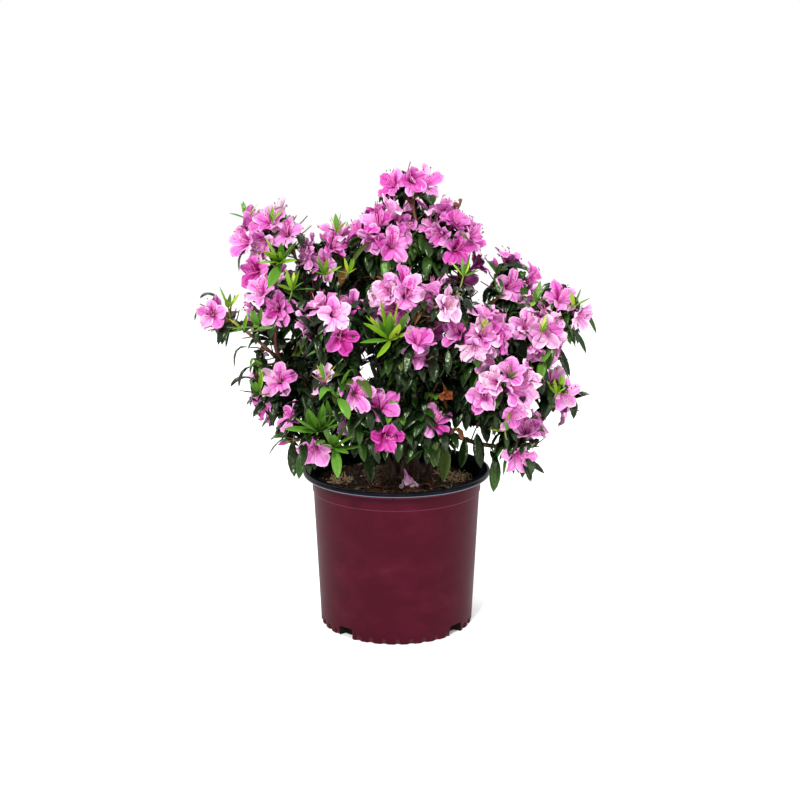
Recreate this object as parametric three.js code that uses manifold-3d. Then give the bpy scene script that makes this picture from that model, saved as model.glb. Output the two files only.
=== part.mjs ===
// An azalea shrub in full flower, standing in its round nursery pot.
// Millimetres, +Z up. The front of the shrub is toward -Y.
// The origin is the centre of the pot's flat underside.

import * as THREE from 'three';
import { mergeVertices } from 'three/addons/utils/BufferGeometryUtils.js';
import Module from 'manifold-3d';

const wasm = await Module();
wasm.setup();

const GAP = 0.3; // clear space between neighbouring pieces

// Pot: a tapered tub with a raised foot ring, a plain collar band and a rolled lip.
const POT_SEGMENTS = 36;
const POT_HEIGHT = 235;
const POT_WALL = 2;
const BASE_RADIUS = 115;
const BODY_TOP_RADIUS = 124.5;
const COLLAR_RADIUS = 126;
const COLLAR_BOTTOM = 204;
const RIM_RADIUS = 140;
const RIM_BOTTOM = 228;
const RIM_SEAT = 230;
const FLOOR_THICKNESS = 2.5;
const FOOT_RING_WIDTH = 17;
const FOOT_RING_TOP = 18;
const NOTCH = { count: 4, width: 25, height: 15, depth: 12, first: 49.5 }; // first: its angle in degrees
const SOIL_TOP = 213;

// Wood: a short flared trunk, stems that fork from it, and boughs that carry the masses.
const LIMB_SIDES = 5;
const LIMB_RINGS = 5;
const LIMB_SAG = 0.12; // of a limb's length: it leaves its parent low and then turns up
const TRUNK = { foot: [22, 10], tip: [16, 2, 282], radius: 14, tipRadius: 9.5, sides: 9 };
const FLARE = { size: 0.6, fade: 8, buttresses: 3, ribs: 0.45 }; // how the trunk widens toward the soil

// Each row: name, parent, place along the parent, far end, radius at the root and at the tip.
const LIMBS = [
  ['leader', 'trunk', 1.0, [32, -8, 420], 7.5, 5.2],
  ['left_stem', 'trunk', 0.7, [-92, -12, 350], 7, 4.8],
  ['right_stem', 'trunk', 0.8, [95, -30, 345], 7, 4.8],
  ['front_stem', 'trunk', 0.9, [14, -78, 360], 6.2, 4.4],
  ['front_left_stem', 'trunk', 0.5, [-58, -75, 325], 6.2, 4.4],
  ['back_left_stem', 'trunk', 0.55, [-55, 72, 340], 6.2, 4.4],
  ['back_right_stem', 'trunk', 0.65, [75, 75, 340], 6.2, 4.4],
  ['crown_bough', 'leader', 1.0, [34, -15, 545], 4.6, 3],
  ['back_top_bough', 'leader', 0.8, [18, 72, 490], 4.2, 3],
  ['upper_left_bough', 'left_stem', 1.0, [-128, -14, 495], 4.4, 3],
  ['left_bough', 'left_stem', 0.85, [-178, -42, 415], 4, 3],
  ['upper_right_bough', 'right_stem', 1.0, [152, -5, 455], 4.4, 3],
  ['right_bough', 'right_stem', 0.9, [178, -70, 385], 4, 3],
  ['mid_right_bough', 'right_stem', 0.7, [96, -105, 415], 4, 3],
  ['low_right_bough', 'right_stem', 0.5, [142, -70, 285], 3.8, 3],
  ['centre_bough', 'front_stem', 1.0, [10, -105, 440], 4, 3],
  ['low_front_bough', 'front_stem', 0.6, [-20, -115, 315], 3.8, 3],
  ['centre_left_bough', 'front_left_stem', 1.0, [-72, -122, 420], 4, 3],
  ['low_left_bough', 'front_left_stem', 0.75, [-108, -90, 305], 3.8, 3],
  ['back_left_bough', 'back_left_stem', 1.0, [-105, 105, 440], 4, 3],
  ['low_back_left_bough', 'back_left_stem', 0.7, [-125, 90, 325], 3.8, 3],
  ['back_right_bough', 'back_right_stem', 1.0, [110, 108, 440], 4, 3],
  ['low_back_right_bough', 'back_right_stem', 0.7, [140, 80, 325], 3.8, 3],
];

// Each row: name, limb, place along the limb, centre, reach, blooms, leaves, turn.
// The turn is the angle in degrees at which its first bloom stands in the ring.
const MASSES = [
  ['crown_top', 'crown_bough', 1.0, [18, -6, 664], 56, 3, 7, 90],
  ['top_left', 'crown_bough', 0.8, [-22, -36, 588], 60, 4, 10, 60],
  ['top_right', 'crown_bough', 0.9, [78, -26, 588], 60, 4, 10, 20],
  ['upper_left', 'upper_left_bough', 1.0, [-174, -22, 590], 62, 4, 8, 10],
  ['upper_mid', 'upper_left_bough', 0.85, [-104, -18, 560], 56, 3, 10, 70],
  ['left_inner', 'left_bough', 0.8, [-184, -52, 490], 58, 3, 12, 100],
  ['far_left', 'left_bough', 1.0, [-262, -20, 468], 44, 1, 6, 180],
  ['left_low', 'left_bough', 0.6, [-188, -56, 370], 60, 3, 12, 150],
  ['centre_left', 'centre_left_bough', 1.0, [-90, -150, 478], 56, 2, 10, 140],
  ['mid_low_left', 'centre_left_bough', 0.8, [-76, -160, 388], 52, 2, 11, 170],
  ['low_left', 'low_left_bough', 1.0, [-132, -116, 314], 58, 2, 12, 150],
  ['centre', 'centre_bough', 1.0, [6, -124, 502], 54, 2, 10, 190],
  ['centre_low', 'centre_bough', 0.8, [22, -158, 432], 50, 1, 11, 40],
  ['low_front', 'low_front_bough', 1.0, [-34, -150, 338], 56, 3, 11, 75],
  ['low_centre', 'low_front_bough', 0.8, [48, -128, 330], 54, 1, 11, 60],
  ['front_right', 'mid_right_bough', 1.0, [64, -164, 502], 48, 1, 8, 0],
  ['right_mid', 'mid_right_bough', 0.8, [112, -140, 456], 58, 4, 8, 35],
  ['right_up', 'upper_right_bough', 1.0, [172, 0, 522], 58, 3, 10, 80],
  ['right_far', 'upper_right_bough', 0.85, [254, 4, 474], 56, 2, 9, 150],
  ['right_mid_far', 'right_bough', 1.0, [206, -62, 448], 60, 4, 8, 30],
  ['right_low', 'right_bough', 0.75, [150, -138, 382], 64, 5, 9, 10],
  ['right_edge', 'right_bough', 0.9, [238, -34, 350], 56, 2, 10, 120],
  ['right_bottom', 'low_right_bough', 1.0, [186, -76, 296], 56, 2, 11, 50],
  ['back_top', 'back_top_bough', 1.0, [22, 92, 590], 60, 3, 9, 90],
  ['back_top_left', 'back_top_bough', 0.8, [-70, 102, 532], 60, 3, 9, 120],
  ['back_top_right', 'back_right_bough', 1.0, [98, 98, 526], 60, 3, 9, 45],
  ['back_left', 'back_left_bough', 1.0, [-172, 96, 486], 62, 3, 9, 150],
  ['back_mid_left', 'back_left_bough', 0.8, [-72, 172, 436], 60, 3, 9, 100],
  ['back_right', 'back_right_bough', 0.8, [190, 100, 440], 62, 3, 9, 20],
  ['back_mid_right', 'back_right_bough', 0.6, [54, 180, 440], 60, 3, 9, 80],
  ['low_back_left', 'low_back_left_bough', 1.0, [-152, 120, 346], 60, 2, 11, 160],
  ['low_back', 'back_left_stem', 0.85, [-8, 158, 330], 60, 2, 11, 90],
  ['low_back_right', 'low_back_right_bough', 1.0, [140, 138, 336], 60, 2, 11, 30],
];

// Each mass has its own seed, so that a change to one leaves the next as it is.
const FIRST_SEED = 100;
const SEED_STEP = 37;

// How a mass grows: a stem from its limb, shoots that end in a bloom or bare, and leaves along them.
const CROWN_HEART = new THREE.Vector3(15, 5, 260);
const FACE_BIAS = 100; // how far a front mass turns to the front, and a back one to the back
const LIFT_SHARE = 0.5; // how much of its height above the heart turns a mass upward
const STEM_SIDES = 4;
const STEM_RINGS = 3;
const STEM_RADIUS = 2.8;
const STEM_TIP_RADIUS = 2.3;
const STEM_BEND = 0.4; // of its length: how far it follows its limb's way before it turns
const STEM_DEPTH = 0.45; // of the reach: how far behind the centre the stem ends
const SHOOT_SIDES = 3;
const SHOOT_RINGS = 2;
const SHOOT_RADIUS = 1.5;
const SHOOT_TIP_RADIUS = 1.3;
const SHOOT_BEND = 0.45; // of its length: how long it already looks the way it ends
const SHOOT_START = 0.97; // of the stem: where the first shoot leaves it
const SHOOT_ZONE = 0.45; // of the stem, from there down: where the others leave it
const SHOOT_SHIFT = 0.3; // how far a foot may slip toward the next one, in shares of their distance
const SHOOT_STEPS = [0, 9, -9, 18]; // how far a shoot may be moved out or in to find clear room
const JITTER = 12; // degrees that a shoot may stray in its ring
const RING_LOOK = { out: 0.75, side: 0.6 }; // how far a bloom of the ring looks outward and sideways
const MIDDLE_LOOK = { out: 1, side: 0.15 };
const MIDDLE_LIFT = 0.6; // of the spread: how far the middle bloom stands before its ring
const LONE_SPREAD = 0.3; // of the spread: a single bloom keeps near the centre
const BARE_TURN = 60; // degrees from the first bloom to the first shoot without one
const BARE_LOOK = { out: 0.5, side: 0.8 };
const BARE_SPREAD = 0.9; // of the spread: how far out a shoot without a bloom ends
const BARE_DEPTH = 0.15; // of the reach: how far behind the centre it ends
const PETALS = 5;
const PETAL_HALF_ANGLE = 0.3;
const BLOOM_RADIUS = 26;
const BLOOM_TUBE = 24; // from the shoot's end to the level of the petals
const THROAT_DEPTH = 9;
const PETAL_LIFT = 2;
const CLEFT_RADIUS = 13; // where two petals part
const CLEFT_DROP = 4;
const LEAF_LENGTH = { shortest: 48, longest: 66 };
const LEAF_WIDTH = 21;
const LEAF_THICKNESS = 2;
const LEAF_WIDEST = 0.45; // of its length from the root
const LEAF_LEAN = 0.5; // how strongly a leaf leans along its twig
const LEAF_HANG = 0.4; // how strongly it turns down
const LEAF_DROOP = 0.22; // of its length: how far the tip falls below the root's level
const LEAF_SINK = 0.4; // how far a leaf's root passes the middle of its twig
const LEAF_SHIFT = 0.1; // of a ring: how far a leaf may stray along its twig
const STEM_LEAVES_FROM = 0.1; // of the stem: the bare length by its limb
const SHOOT_LEAVES_FROM = 0.3; // of a shoot: the bare length by its fork
const LEAF_SPACE = 1.2; // how far from its mass's centre a leaf tip may stand, in shares of the reach
const BORDER = 0.3; // how far it may stand over the border with the next mass, in the same shares

const COLOURS = {
  bark: 0x5f4433,
  leaf: 0x2c4a1c,
  blossom: 0xd869b4,
  pot: 0x5a1322,
  lip: 0x14161c,
  soil: 0x33231a,
};

const UP = new THREE.Vector3(0, 0, 1);
const point = (x, y, z) => new THREE.Vector3(x, y, z);

// A seeded row of numbers between 0 and 1.
function dice(seed) {
  let state = seed;
  return () => {
    state = (state * 16807) % 2147483647;
    return state / 2147483647;
  };
}

// A solid from a closed geometry, with its shared corners merged.
function solidOf(geometry) {
  const bare = geometry.clone();
  bare.deleteAttribute('normal');
  bare.deleteAttribute('uv');
  const merged = mergeVertices(bare);
  const corners = merged.index.array;
  const kept = [];
  for (let i = 0; i < corners.length; i += 3) {
    const [a, b, c] = corners.slice(i, i + 3);
    if (a !== b && b !== c && c !== a) kept.push(a, b, c);
  }
  const vertProperties = merged.attributes.position.array;
  return new wasm.Manifold(new wasm.Mesh({ numProp: 3, vertProperties, triVerts: new Uint32Array(kept) }));
}

function solidFromFaces(points, faces) {
  return solidOf(new THREE.BufferGeometry().setFromPoints(points).setIndex(faces.flat()));
}

function geometryOf(solid) {
  const mesh = solid.getMesh();
  const geometry = new THREE.BufferGeometry();
  geometry.setAttribute('position', new THREE.BufferAttribute(new Float32Array(mesh.vertProperties), 3));
  geometry.setIndex(new THREE.BufferAttribute(new Uint32Array(mesh.triVerts), 1));
  geometry.computeVertexNormals();
  return geometry;
}

// The largest body alone: loose scraps go, and hollows that joining has sealed are filled.
function largestBody(solid) {
  return solid.decompose().reduce((best, body) => (body.volume() > best.volume() ? body : best));
}

// A solid turned about the pot's axis. The [radius, height] pairs run up its outside and down its inside.
function turned(profile) {
  const outline = profile.map(([radius, height]) => new THREE.Vector2(radius, height));
  return solidOf(new THREE.LatheGeometry(outline, POT_SEGMENTS).rotateX(Math.PI / 2));
}

// The block that cuts one drain notch out of the pot's lower edge. It reaches past the edge by a margin.
function notchBlock(angle) {
  const margin = 5;
  const block = new THREE.BoxGeometry(NOTCH.depth + margin, NOTCH.width, NOTCH.height + margin);
  block.translate(BASE_RADIUS + (margin - NOTCH.depth) / 2, 0, (NOTCH.height - margin) / 2);
  return solidOf(block.rotateZ(angle));
}

function potWall() {
  const foot = BASE_RADIUS - FOOT_RING_WIDTH;
  let wall = turned([
    [0, 0],
    [BASE_RADIUS, 0],
    [BODY_TOP_RADIUS, COLLAR_BOTTOM],
    [COLLAR_RADIUS, COLLAR_BOTTOM + 0.8],
    [COLLAR_RADIUS, RIM_SEAT - GAP],
    [BODY_TOP_RADIUS - POT_WALL, RIM_SEAT - GAP],
    [BODY_TOP_RADIUS - POT_WALL, COLLAR_BOTTOM],
    [BASE_RADIUS - POT_WALL, FOOT_RING_TOP],
    [foot, FOOT_RING_TOP],
    [foot - 2, FLOOR_THICKNESS],
    [0, FLOOR_THICKNESS],
  ]);
  for (let i = 0; i < NOTCH.count; i += 1) {
    const turn = NOTCH.first + (360 * i) / NOTCH.count;
    wall = wall.subtract(notchBlock(THREE.MathUtils.degToRad(turn)));
  }
  return largestBody(wall);
}

// The lip sits on the wall's top edge and hangs down a little outside it.
function potRim() {
  const inner = BODY_TOP_RADIUS - POT_WALL;
  const skirt = RIM_RADIUS - 2.5;
  return turned([
    [inner, RIM_SEAT],
    [skirt, RIM_SEAT],
    [skirt, RIM_BOTTOM],
    [RIM_RADIUS, RIM_BOTTOM + 1],
    [RIM_RADIUS, POT_HEIGHT - 3],
    [RIM_RADIUS - 3, POT_HEIGHT],
    [inner + 2, POT_HEIGHT],
    [inner, RIM_SEAT],
  ]);
}

// The soil fills the pot to a little below the lip.
function soil() {
  const foot = BASE_RADIUS - FOOT_RING_WIDTH - GAP;
  const inside = POT_WALL + GAP;
  return turned([
    [0, FLOOR_THICKNESS + GAP],
    [foot - 2, FLOOR_THICKNESS + GAP],
    [foot, FOOT_RING_TOP + GAP],
    [BASE_RADIUS - inside, FOOT_RING_TOP + GAP],
    [BODY_TOP_RADIUS - inside, COLLAR_BOTTOM],
    [BODY_TOP_RADIUS - inside, SOIL_TOP],
    [0, SOIL_TOP],
  ]);
}

// The corners of a round limb or twig along a curve, ring after ring. A margin makes it fatter and longer.
function tubeCorners(curve, sides, rings, radiusAt, margin = 0, spin = 0) {
  const frames = curve.computeFrenetFrames(rings);
  const points = [];
  for (let ring = 0; ring <= rings; ring += 1) {
    const along = ring / rings;
    const centre = curve.getPointAt(along);
    if (ring === 0) centre.addScaledVector(frames.tangents[ring], -margin);
    if (ring === rings) centre.addScaledVector(frames.tangents[ring], margin);
    for (let side = 0; side < sides; side += 1) {
      const angle = (side * 2 * Math.PI) / sides;
      const radius = radiusAt(along, angle) + margin;
      const corner = centre.clone().addScaledVector(frames.normals[ring], radius * Math.cos(angle + spin));
      points.push(corner.addScaledVector(frames.binormals[ring], radius * Math.sin(angle + spin)));
    }
  }
  return points;
}

// A point on the middle line of a tube as it is built, with straight stretches between its rings.
function onAxis({ curve, rings }, along) {
  const ring = Math.min(Math.floor(along * rings), rings - 1);
  const before = curve.getPointAt(ring / rings);
  return before.lerp(curve.getPointAt((ring + 1) / rings), along * rings - ring);
}

// The faces of a tube's wall and of its root end.
function tubeFaces(sides, rings) {
  const faces = [];
  for (let ring = 0; ring < rings; ring += 1) {
    for (let side = 0; side < sides; side += 1) {
      const a = ring * sides + side;
      const b = ring * sides + ((side + 1) % sides);
      faces.push([a, b, b + sides], [a, b + sides, a + sides]);
    }
  }
  for (let side = 1; side < sides - 1; side += 1) faces.push([0, side + 1, side]);
  return faces;
}

function taperedTube(curve, sides, rings, radiusAt, margin = 0) {
  const faces = tubeFaces(sides, rings);
  const last = rings * sides;
  for (let side = 1; side < sides - 1; side += 1) faces.push([last, last + side, last + side + 1]);
  return solidFromFaces(tubeCorners(curve, sides, rings, radiusAt, margin), faces);
}

// A tube with its own curve and the fatter copy that keeps its neighbours clear.
function tubePiece(curve, sides, rings, radiusAt) {
  const solid = taperedTube(curve, sides, rings, radiusAt);
  const room = taperedTube(curve, sides, rings, radiusAt, GAP / Math.cos(Math.PI / sides));
  return { curve, rings, sides, spin: 0, solid, room };
}

// The trunk stands on a flat cut at soil level, with low buttresses where its roots go down.
function growTrunk() {
  const foot = point(...TRUNK.foot, SOIL_TOP + GAP);
  const tip = point(...TRUNK.tip);
  const curve = new THREE.QuadraticBezierCurve3(foot, point(foot.x, foot.y, (foot.z + tip.z) / 2), tip);
  const radiusAt = (along, angle) => {
    const ribbed = 1 + FLARE.ribs * Math.cos(FLARE.buttresses * angle);
    const flare = 1 + FLARE.size * Math.exp(-along * FLARE.fade) * ribbed;
    return THREE.MathUtils.lerp(TRUNK.radius, TRUNK.tipRadius, along) * flare;
  };
  return tubePiece(curve, TRUNK.sides, LIMB_RINGS, radiusAt);
}

// A child limb starts inside its parent and is cut 0.3 mm clear of it and of the limbs grown before it.
function cutClear(tube, earlier) {
  return largestBody(earlier.reduce((left, other) => left.subtract(other.room), tube.solid));
}

function growLimbs() {
  const trunk = growTrunk();
  const limbs = { trunk };
  for (const [name, parent, place, end, radius, tipRadius] of LIMBS) {
    const start = onAxis(limbs[parent], place);
    const far = point(...end);
    const middle = start.clone().lerp(far, 0.5).addScaledVector(UP, -LIMB_SAG * start.distanceTo(far));
    const curve = new THREE.QuadraticBezierCurve3(start, middle, far);
    const radiusAt = (along) => THREE.MathUtils.lerp(radius, tipRadius, along);
    const limb = tubePiece(curve, LIMB_SIDES, LIMB_RINGS, radiusAt);
    limb.solid = cutClear(limb, Object.values(limbs));
    limbs[name] = limb;
  }
  return limbs;
}

// The way a mass looks out of the crown, with the ring directions across it.
function outlook(centre) {
  const out = centre.clone().sub(CROWN_HEART);
  out.y += Math.sign(centre.y - CROWN_HEART.y) * FACE_BIAS;
  out.z *= LIFT_SHARE;
  out.normalize();
  const across = UP.clone().cross(out).normalize();
  const rise = out.clone().cross(across);
  const ringWay = (degrees) => {
    const angle = THREE.MathUtils.degToRad(degrees);
    return across.clone().multiplyScalar(Math.cos(angle)).addScaledVector(rise, Math.sin(angle));
  };
  return { out, ringWay };
}

// A bent twig that leaves its start along a given way.
function leavingCurve(start, way, end, bend) {
  const middle = start.clone().addScaledVector(way, bend * start.distanceTo(end));
  return new THREE.QuadraticBezierCurve3(start, middle, end);
}

// A bent twig that comes to its end along a given way.
function arrivingCurve(start, end, way, bend) {
  const middle = end.clone().addScaledVector(way, -bend * start.distanceTo(end));
  return new THREE.QuadraticBezierCurve3(start, middle, end);
}

// The stem and shoots of one mass as curves, worked out before anything is made solid.
function planMass([name, limb, place, middle, reach, blooms, leaves, turn], limbs, seed) {
  const roll = dice(seed);
  const centre = point(...middle);
  const { out, ringWay } = outlook(centre);
  const bough = limbs[limb];
  const stemEnd = centre.clone().addScaledVector(out, -STEM_DEPTH * reach);
  const curve = leavingCurve(onAxis(bough, place), bough.curve.getTangentAt(place), stemEnd, STEM_BEND);
  const stem = { curve, rings: STEM_RINGS };
  const spread = reach - BLOOM_RADIUS;
  const ring = blooms > 3 ? blooms - 1 : blooms;
  const bare = blooms < 3 ? 2 : 1;
  const shoots = [];
  const addShoot = (offset, way, look, kind) => {
    const slip = shoots.length + SHOOT_SHIFT * roll();
    const foot = onAxis(stem, SHOOT_START - (SHOOT_ZONE * slip) / (blooms + bare));
    const facing = out.clone().multiplyScalar(look.out).addScaledVector(way, look.side).normalize();
    const end = centre.clone().add(offset).addScaledVector(facing, kind === 'bare' ? 0 : -BLOOM_TUBE);
    const curveTo = (step) => arrivingCurve(foot, end.clone().addScaledVector(out, step), facing, SHOOT_BEND);
    shoots.push({ kind, curves: SHOOT_STEPS.map(curveTo) });
  };
  const stray = () => JITTER * (2 * roll() - 1);
  for (let i = 0; i < blooms; i += 1) {
    const way = ringWay(turn + (360 * i) / ring + stray());
    const wide = blooms === 1 ? LONE_SPREAD : 1;
    if (i < ring) addShoot(way.clone().multiplyScalar(spread * wide), way, RING_LOOK, 'ring');
    else addShoot(out.clone().multiplyScalar(spread * MIDDLE_LIFT), way, MIDDLE_LOOK, 'middle');
  }
  for (let i = 0; i < bare; i += 1) {
    const way = ringWay(turn + BARE_TURN + (360 * i) / bare + stray());
    const offset = way.clone().multiplyScalar(spread * BARE_SPREAD).addScaledVector(out, -BARE_DEPTH * reach);
    addShoot(offset, way, BARE_LOOK, 'bare');
  }
  return { name, centre, reach, leaves, roll, stem, shoots, parts: [] };
}

// A shoot, plain or with a flower of five broad petals that opens from its end.
function shootSolid(curve, kind, spin) {
  const radiusAt = (along) => THREE.MathUtils.lerp(SHOOT_RADIUS, SHOOT_TIP_RADIUS, along);
  if (kind === 'bare') return taperedTube(curve, SHOOT_SIDES, SHOOT_RINGS, radiusAt);
  const rings = SHOOT_RINGS;
  const points = tubeCorners(curve, SHOOT_SIDES, rings, radiusAt, 0, spin);
  const faces = tubeFaces(SHOOT_SIDES, rings);
  const frames = curve.computeFrenetFrames(rings);
  const place = (radius, angle, height) => curve.getPointAt(1)
    .addScaledVector(frames.normals[rings], radius * Math.cos(angle + spin))
    .addScaledVector(frames.binormals[rings], radius * Math.sin(angle + spin))
    .addScaledVector(frames.tangents[rings], BLOOM_TUBE + height);
  const neck = rings * SHOOT_SIDES;
  const throat = points.length;
  points.push(place(0, 0, -THROAT_DEPTH));
  for (let petal = 0; petal < PETALS; petal += 1) {
    const middle = (petal * 2 * Math.PI) / PETALS;
    points.push(place(BLOOM_RADIUS, middle - PETAL_HALF_ANGLE, PETAL_LIFT));
    points.push(place(BLOOM_RADIUS, middle + PETAL_HALF_ANGLE, PETAL_LIFT));
    points.push(place(CLEFT_RADIUS, middle + Math.PI / PETALS, -CLEFT_DROP));
  }
  const outline = 3 * PETALS;
  const neckCorner = (i) => neck + Math.floor((((i + 2) % outline) * SHOOT_SIDES) / outline);
  for (let i = 0; i < outline; i += 1) {
    const here = throat + 1 + i;
    const next = throat + 1 + ((i + 1) % outline);
    const corner = neckCorner(i);
    const nextCorner = neckCorner(i + 1);
    faces.push([throat, here, next], [corner, next, here]);
    if (corner !== nextCorner) faces.push([corner, nextCorner, next]);
  }
  return solidFromFaces(points, faces);
}

// A leaf: a bent blade of eight faces, thickest at its middle.
function leafSolid(leaf) {
  const { root, way, face, length } = leaf;
  const side = face.clone().cross(way);
  const middle = root.clone().addScaledVector(way, LEAF_WIDEST * length);
  const halfWidth = LEAF_WIDTH / 2;
  const points = [
    root,
    leaf.tip,
    middle.clone().addScaledVector(side, halfWidth),
    middle.clone().addScaledVector(side, -halfWidth),
    middle.clone().addScaledVector(face, LEAF_THICKNESS / 2),
    middle.clone().addScaledVector(face, -LEAF_THICKNESS / 2),
  ];
  const [foot, tip, left, right, top, under] = points.keys();
  return solidFromFaces(points, [
    [tip, left, top], [left, foot, top], [foot, right, top], [right, tip, top],
    [left, tip, under], [foot, left, under], [right, foot, under], [tip, right, under],
  ]);
}

// The spots along a twig where leaves stand, from its tip down, clear of the fork where it begins.
function leafSpots({ rings }, from, to) {
  const spots = [];
  for (let i = 2 * rings - 1; i >= 0; i -= 1) spots.push((i + 0.5) / (2 * rings));
  return spots.filter((spot) => spot > from && spot < to);
}

// Where one leaf stands: each next leaf takes the next spot and the next side of its twig.
function planLeaf(twig, order, roll) {
  const { curve, rings, sides, spin, spots } = twig;
  const along = spots[order % spots.length] + (LEAF_SHIFT * (roll() - 0.5)) / rings;
  const length = THREE.MathUtils.lerp(LEAF_LENGTH.shortest, LEAF_LENGTH.longest, roll());
  const frames = curve.computeFrenetFrames(rings);
  const ring = Math.floor(along * rings);
  const angle = spin + ((order + Math.floor(order / spots.length) + 0.5) * 2 * Math.PI) / sides;
  const way = frames.normals[ring].clone().multiplyScalar(Math.cos(angle));
  way.addScaledVector(frames.binormals[ring], Math.sin(angle));
  way.addScaledVector(curve.getTangentAt(along), LEAF_LEAN);
  way.z -= LEAF_HANG;
  way.normalize();
  const face = UP.clone().addScaledVector(way, -UP.dot(way)).normalize();
  const root = onAxis(twig, along).addScaledVector(way, -LEAF_SINK);
  const tip = root.clone().addScaledVector(way, length).addScaledVector(face, -LEAF_DROOP * length);
  return { root, way, face, length, tip };
}

// How deep a point lies in a mass's space: 0 at its centre and 1 at its edge.
const depthIn = (mass, place) => place.distanceTo(mass.centre) / mass.reach;

// A point belongs to a mass when it is within reach and no other mass holds it much more closely.
function keepsToItself(mass, masses, place) {
  const own = depthIn(mass, place);
  return own < LEAF_SPACE && masses.every((other) => other === mass || depthIn(other, place) > own - BORDER);
}

const boxesMeet = (a, b) => [0, 1, 2].every((k) => a.min[k] < b.max[k] + GAP && b.min[k] < a.max[k] + GAP);

// Everything that stands already, so that what grows later keeps clear of what isn't its own.
class Room {
  constructor() {
    this.taken = [];
  }

  add(solid) {
    this.taken.push({ solid, box: solid.boundingBox() });
  }

  // Mates are the pieces that this one is to be joined to.
  isClear(solid, mates) {
    const box = solid.boundingBox();
    return this.taken.every((other) => mates.includes(other.solid) || !boxesMeet(box, other.box)
      || solid.minGap(other.solid, 2 * GAP) > GAP);
  }
}

// The stems come first, then the shoots with their blooms, then the leaves, each clear of all that stands.
function growMasses(limbs, pot) {
  const room = new Room();
  const tubes = Object.values(limbs);
  for (const solid of [...pot, ...tubes.map((tube) => tube.solid)]) room.add(solid);
  const masses = MASSES.map((row, index) => planMass(row, limbs, FIRST_SEED + SEED_STEP * index));
  const hold = (mass, solid) => {
    mass.parts.push(solid);
    room.add(solid);
  };
  for (const mass of masses) {
    const radiusAt = (along) => THREE.MathUtils.lerp(STEM_RADIUS, STEM_TIP_RADIUS, along);
    const stem = tubePiece(mass.stem.curve, STEM_SIDES, STEM_RINGS, radiusAt);
    stem.solid = cutClear(stem, tubes);
    hold(mass, stem.solid);
    mass.twigs = [{ ...stem, spots: leafSpots(stem, STEM_LEAVES_FROM, 1 - SHOOT_ZONE) }];
    tubes.push(stem);
  }
  for (const mass of masses) {
    for (const shoot of mass.shoots) {
      const spin = 2 * Math.PI * mass.roll();
      const mates = shoot.kind === 'middle' ? mass.parts : [mass.parts[0]];
      const tries = shoot.curves.map((curve) => ({ curve, solid: shootSolid(curve, shoot.kind, spin) }));
      const found = tries.find((one) => room.isClear(one.solid, mates));
      if (!found) continue;
      const twist = shoot.kind === 'bare' ? 0 : spin;
      const twig = { ...found, rings: SHOOT_RINGS, sides: SHOOT_SIDES, spin: twist };
      mass.twigs.unshift({ ...twig, spots: leafSpots(twig, SHOOT_LEAVES_FROM, 1) });
      hold(mass, twig.solid);
    }
  }
  for (const mass of masses) {
    const most = Math.max(...mass.twigs.map((twig) => twig.spots.length * twig.sides));
    const orders = Array.from({ length: most }, (_, order) => order);
    const places = orders.flatMap((order) => mass.twigs.map((twig) => ({ twig, order })));
    let wanted = mass.leaves;
    for (const { twig, order } of places) {
      if (wanted === 0) break;
      if (order >= twig.spots.length * twig.sides) continue;
      const leaf = planLeaf(twig, order, mass.roll);
      const solid = leafSolid(leaf);
      if (!keepsToItself(mass, masses, leaf.tip) || !room.isClear(solid, [twig.solid])) continue;
      hold(mass, solid);
      wanted -= 1;
    }
  }
  return masses;
}

function standard(colour, roughness) {
  return new THREE.MeshStandardMaterial({ color: COLOURS[colour], roughness, metalness: 0 });
}

function addPiece(group, name, solid, material) {
  const mesh = new THREE.Mesh(geometryOf(solid), material);
  mesh.name = name;
  group.add(mesh);
}

function build() {
  const shrub = new THREE.Group();
  const pot = [potWall(), potRim(), soil()];
  addPiece(shrub, 'pot_wall', pot[0], standard('pot', 0.35));
  addPiece(shrub, 'pot_rim', pot[1], standard('lip', 0.3));
  addPiece(shrub, 'soil', pot[2], standard('soil', 0.95));
  const limbs = growLimbs();
  for (const [name, limb] of Object.entries(limbs)) addPiece(shrub, name, limb.solid, standard('bark', 0.85));
  for (const mass of growMasses(limbs, pot)) {
    const whole = largestBody(mass.parts.reduce((left, part) => left.add(part)));
    const blooms = mass.shoots.filter((shoot) => shoot.kind !== 'bare').length;
    addPiece(shrub, mass.name, whole, standard(blooms > 2 ? 'blossom' : 'leaf', 0.6));
  }
  return shrub;
}

export default build();
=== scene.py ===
"""An azalea shrub in full flower, standing in its round nursery pot.

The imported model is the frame. Its pot, soil and wood are rebuilt here with their finish, and each mass of
foliage is grown again by the rule of its solid and carried on to finer twigs, leaves and open flowers.
Sizes are in millimetres until a mesh is made. +Z is up, and the front of the shrub is toward -Y.
"""

import math

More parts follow.
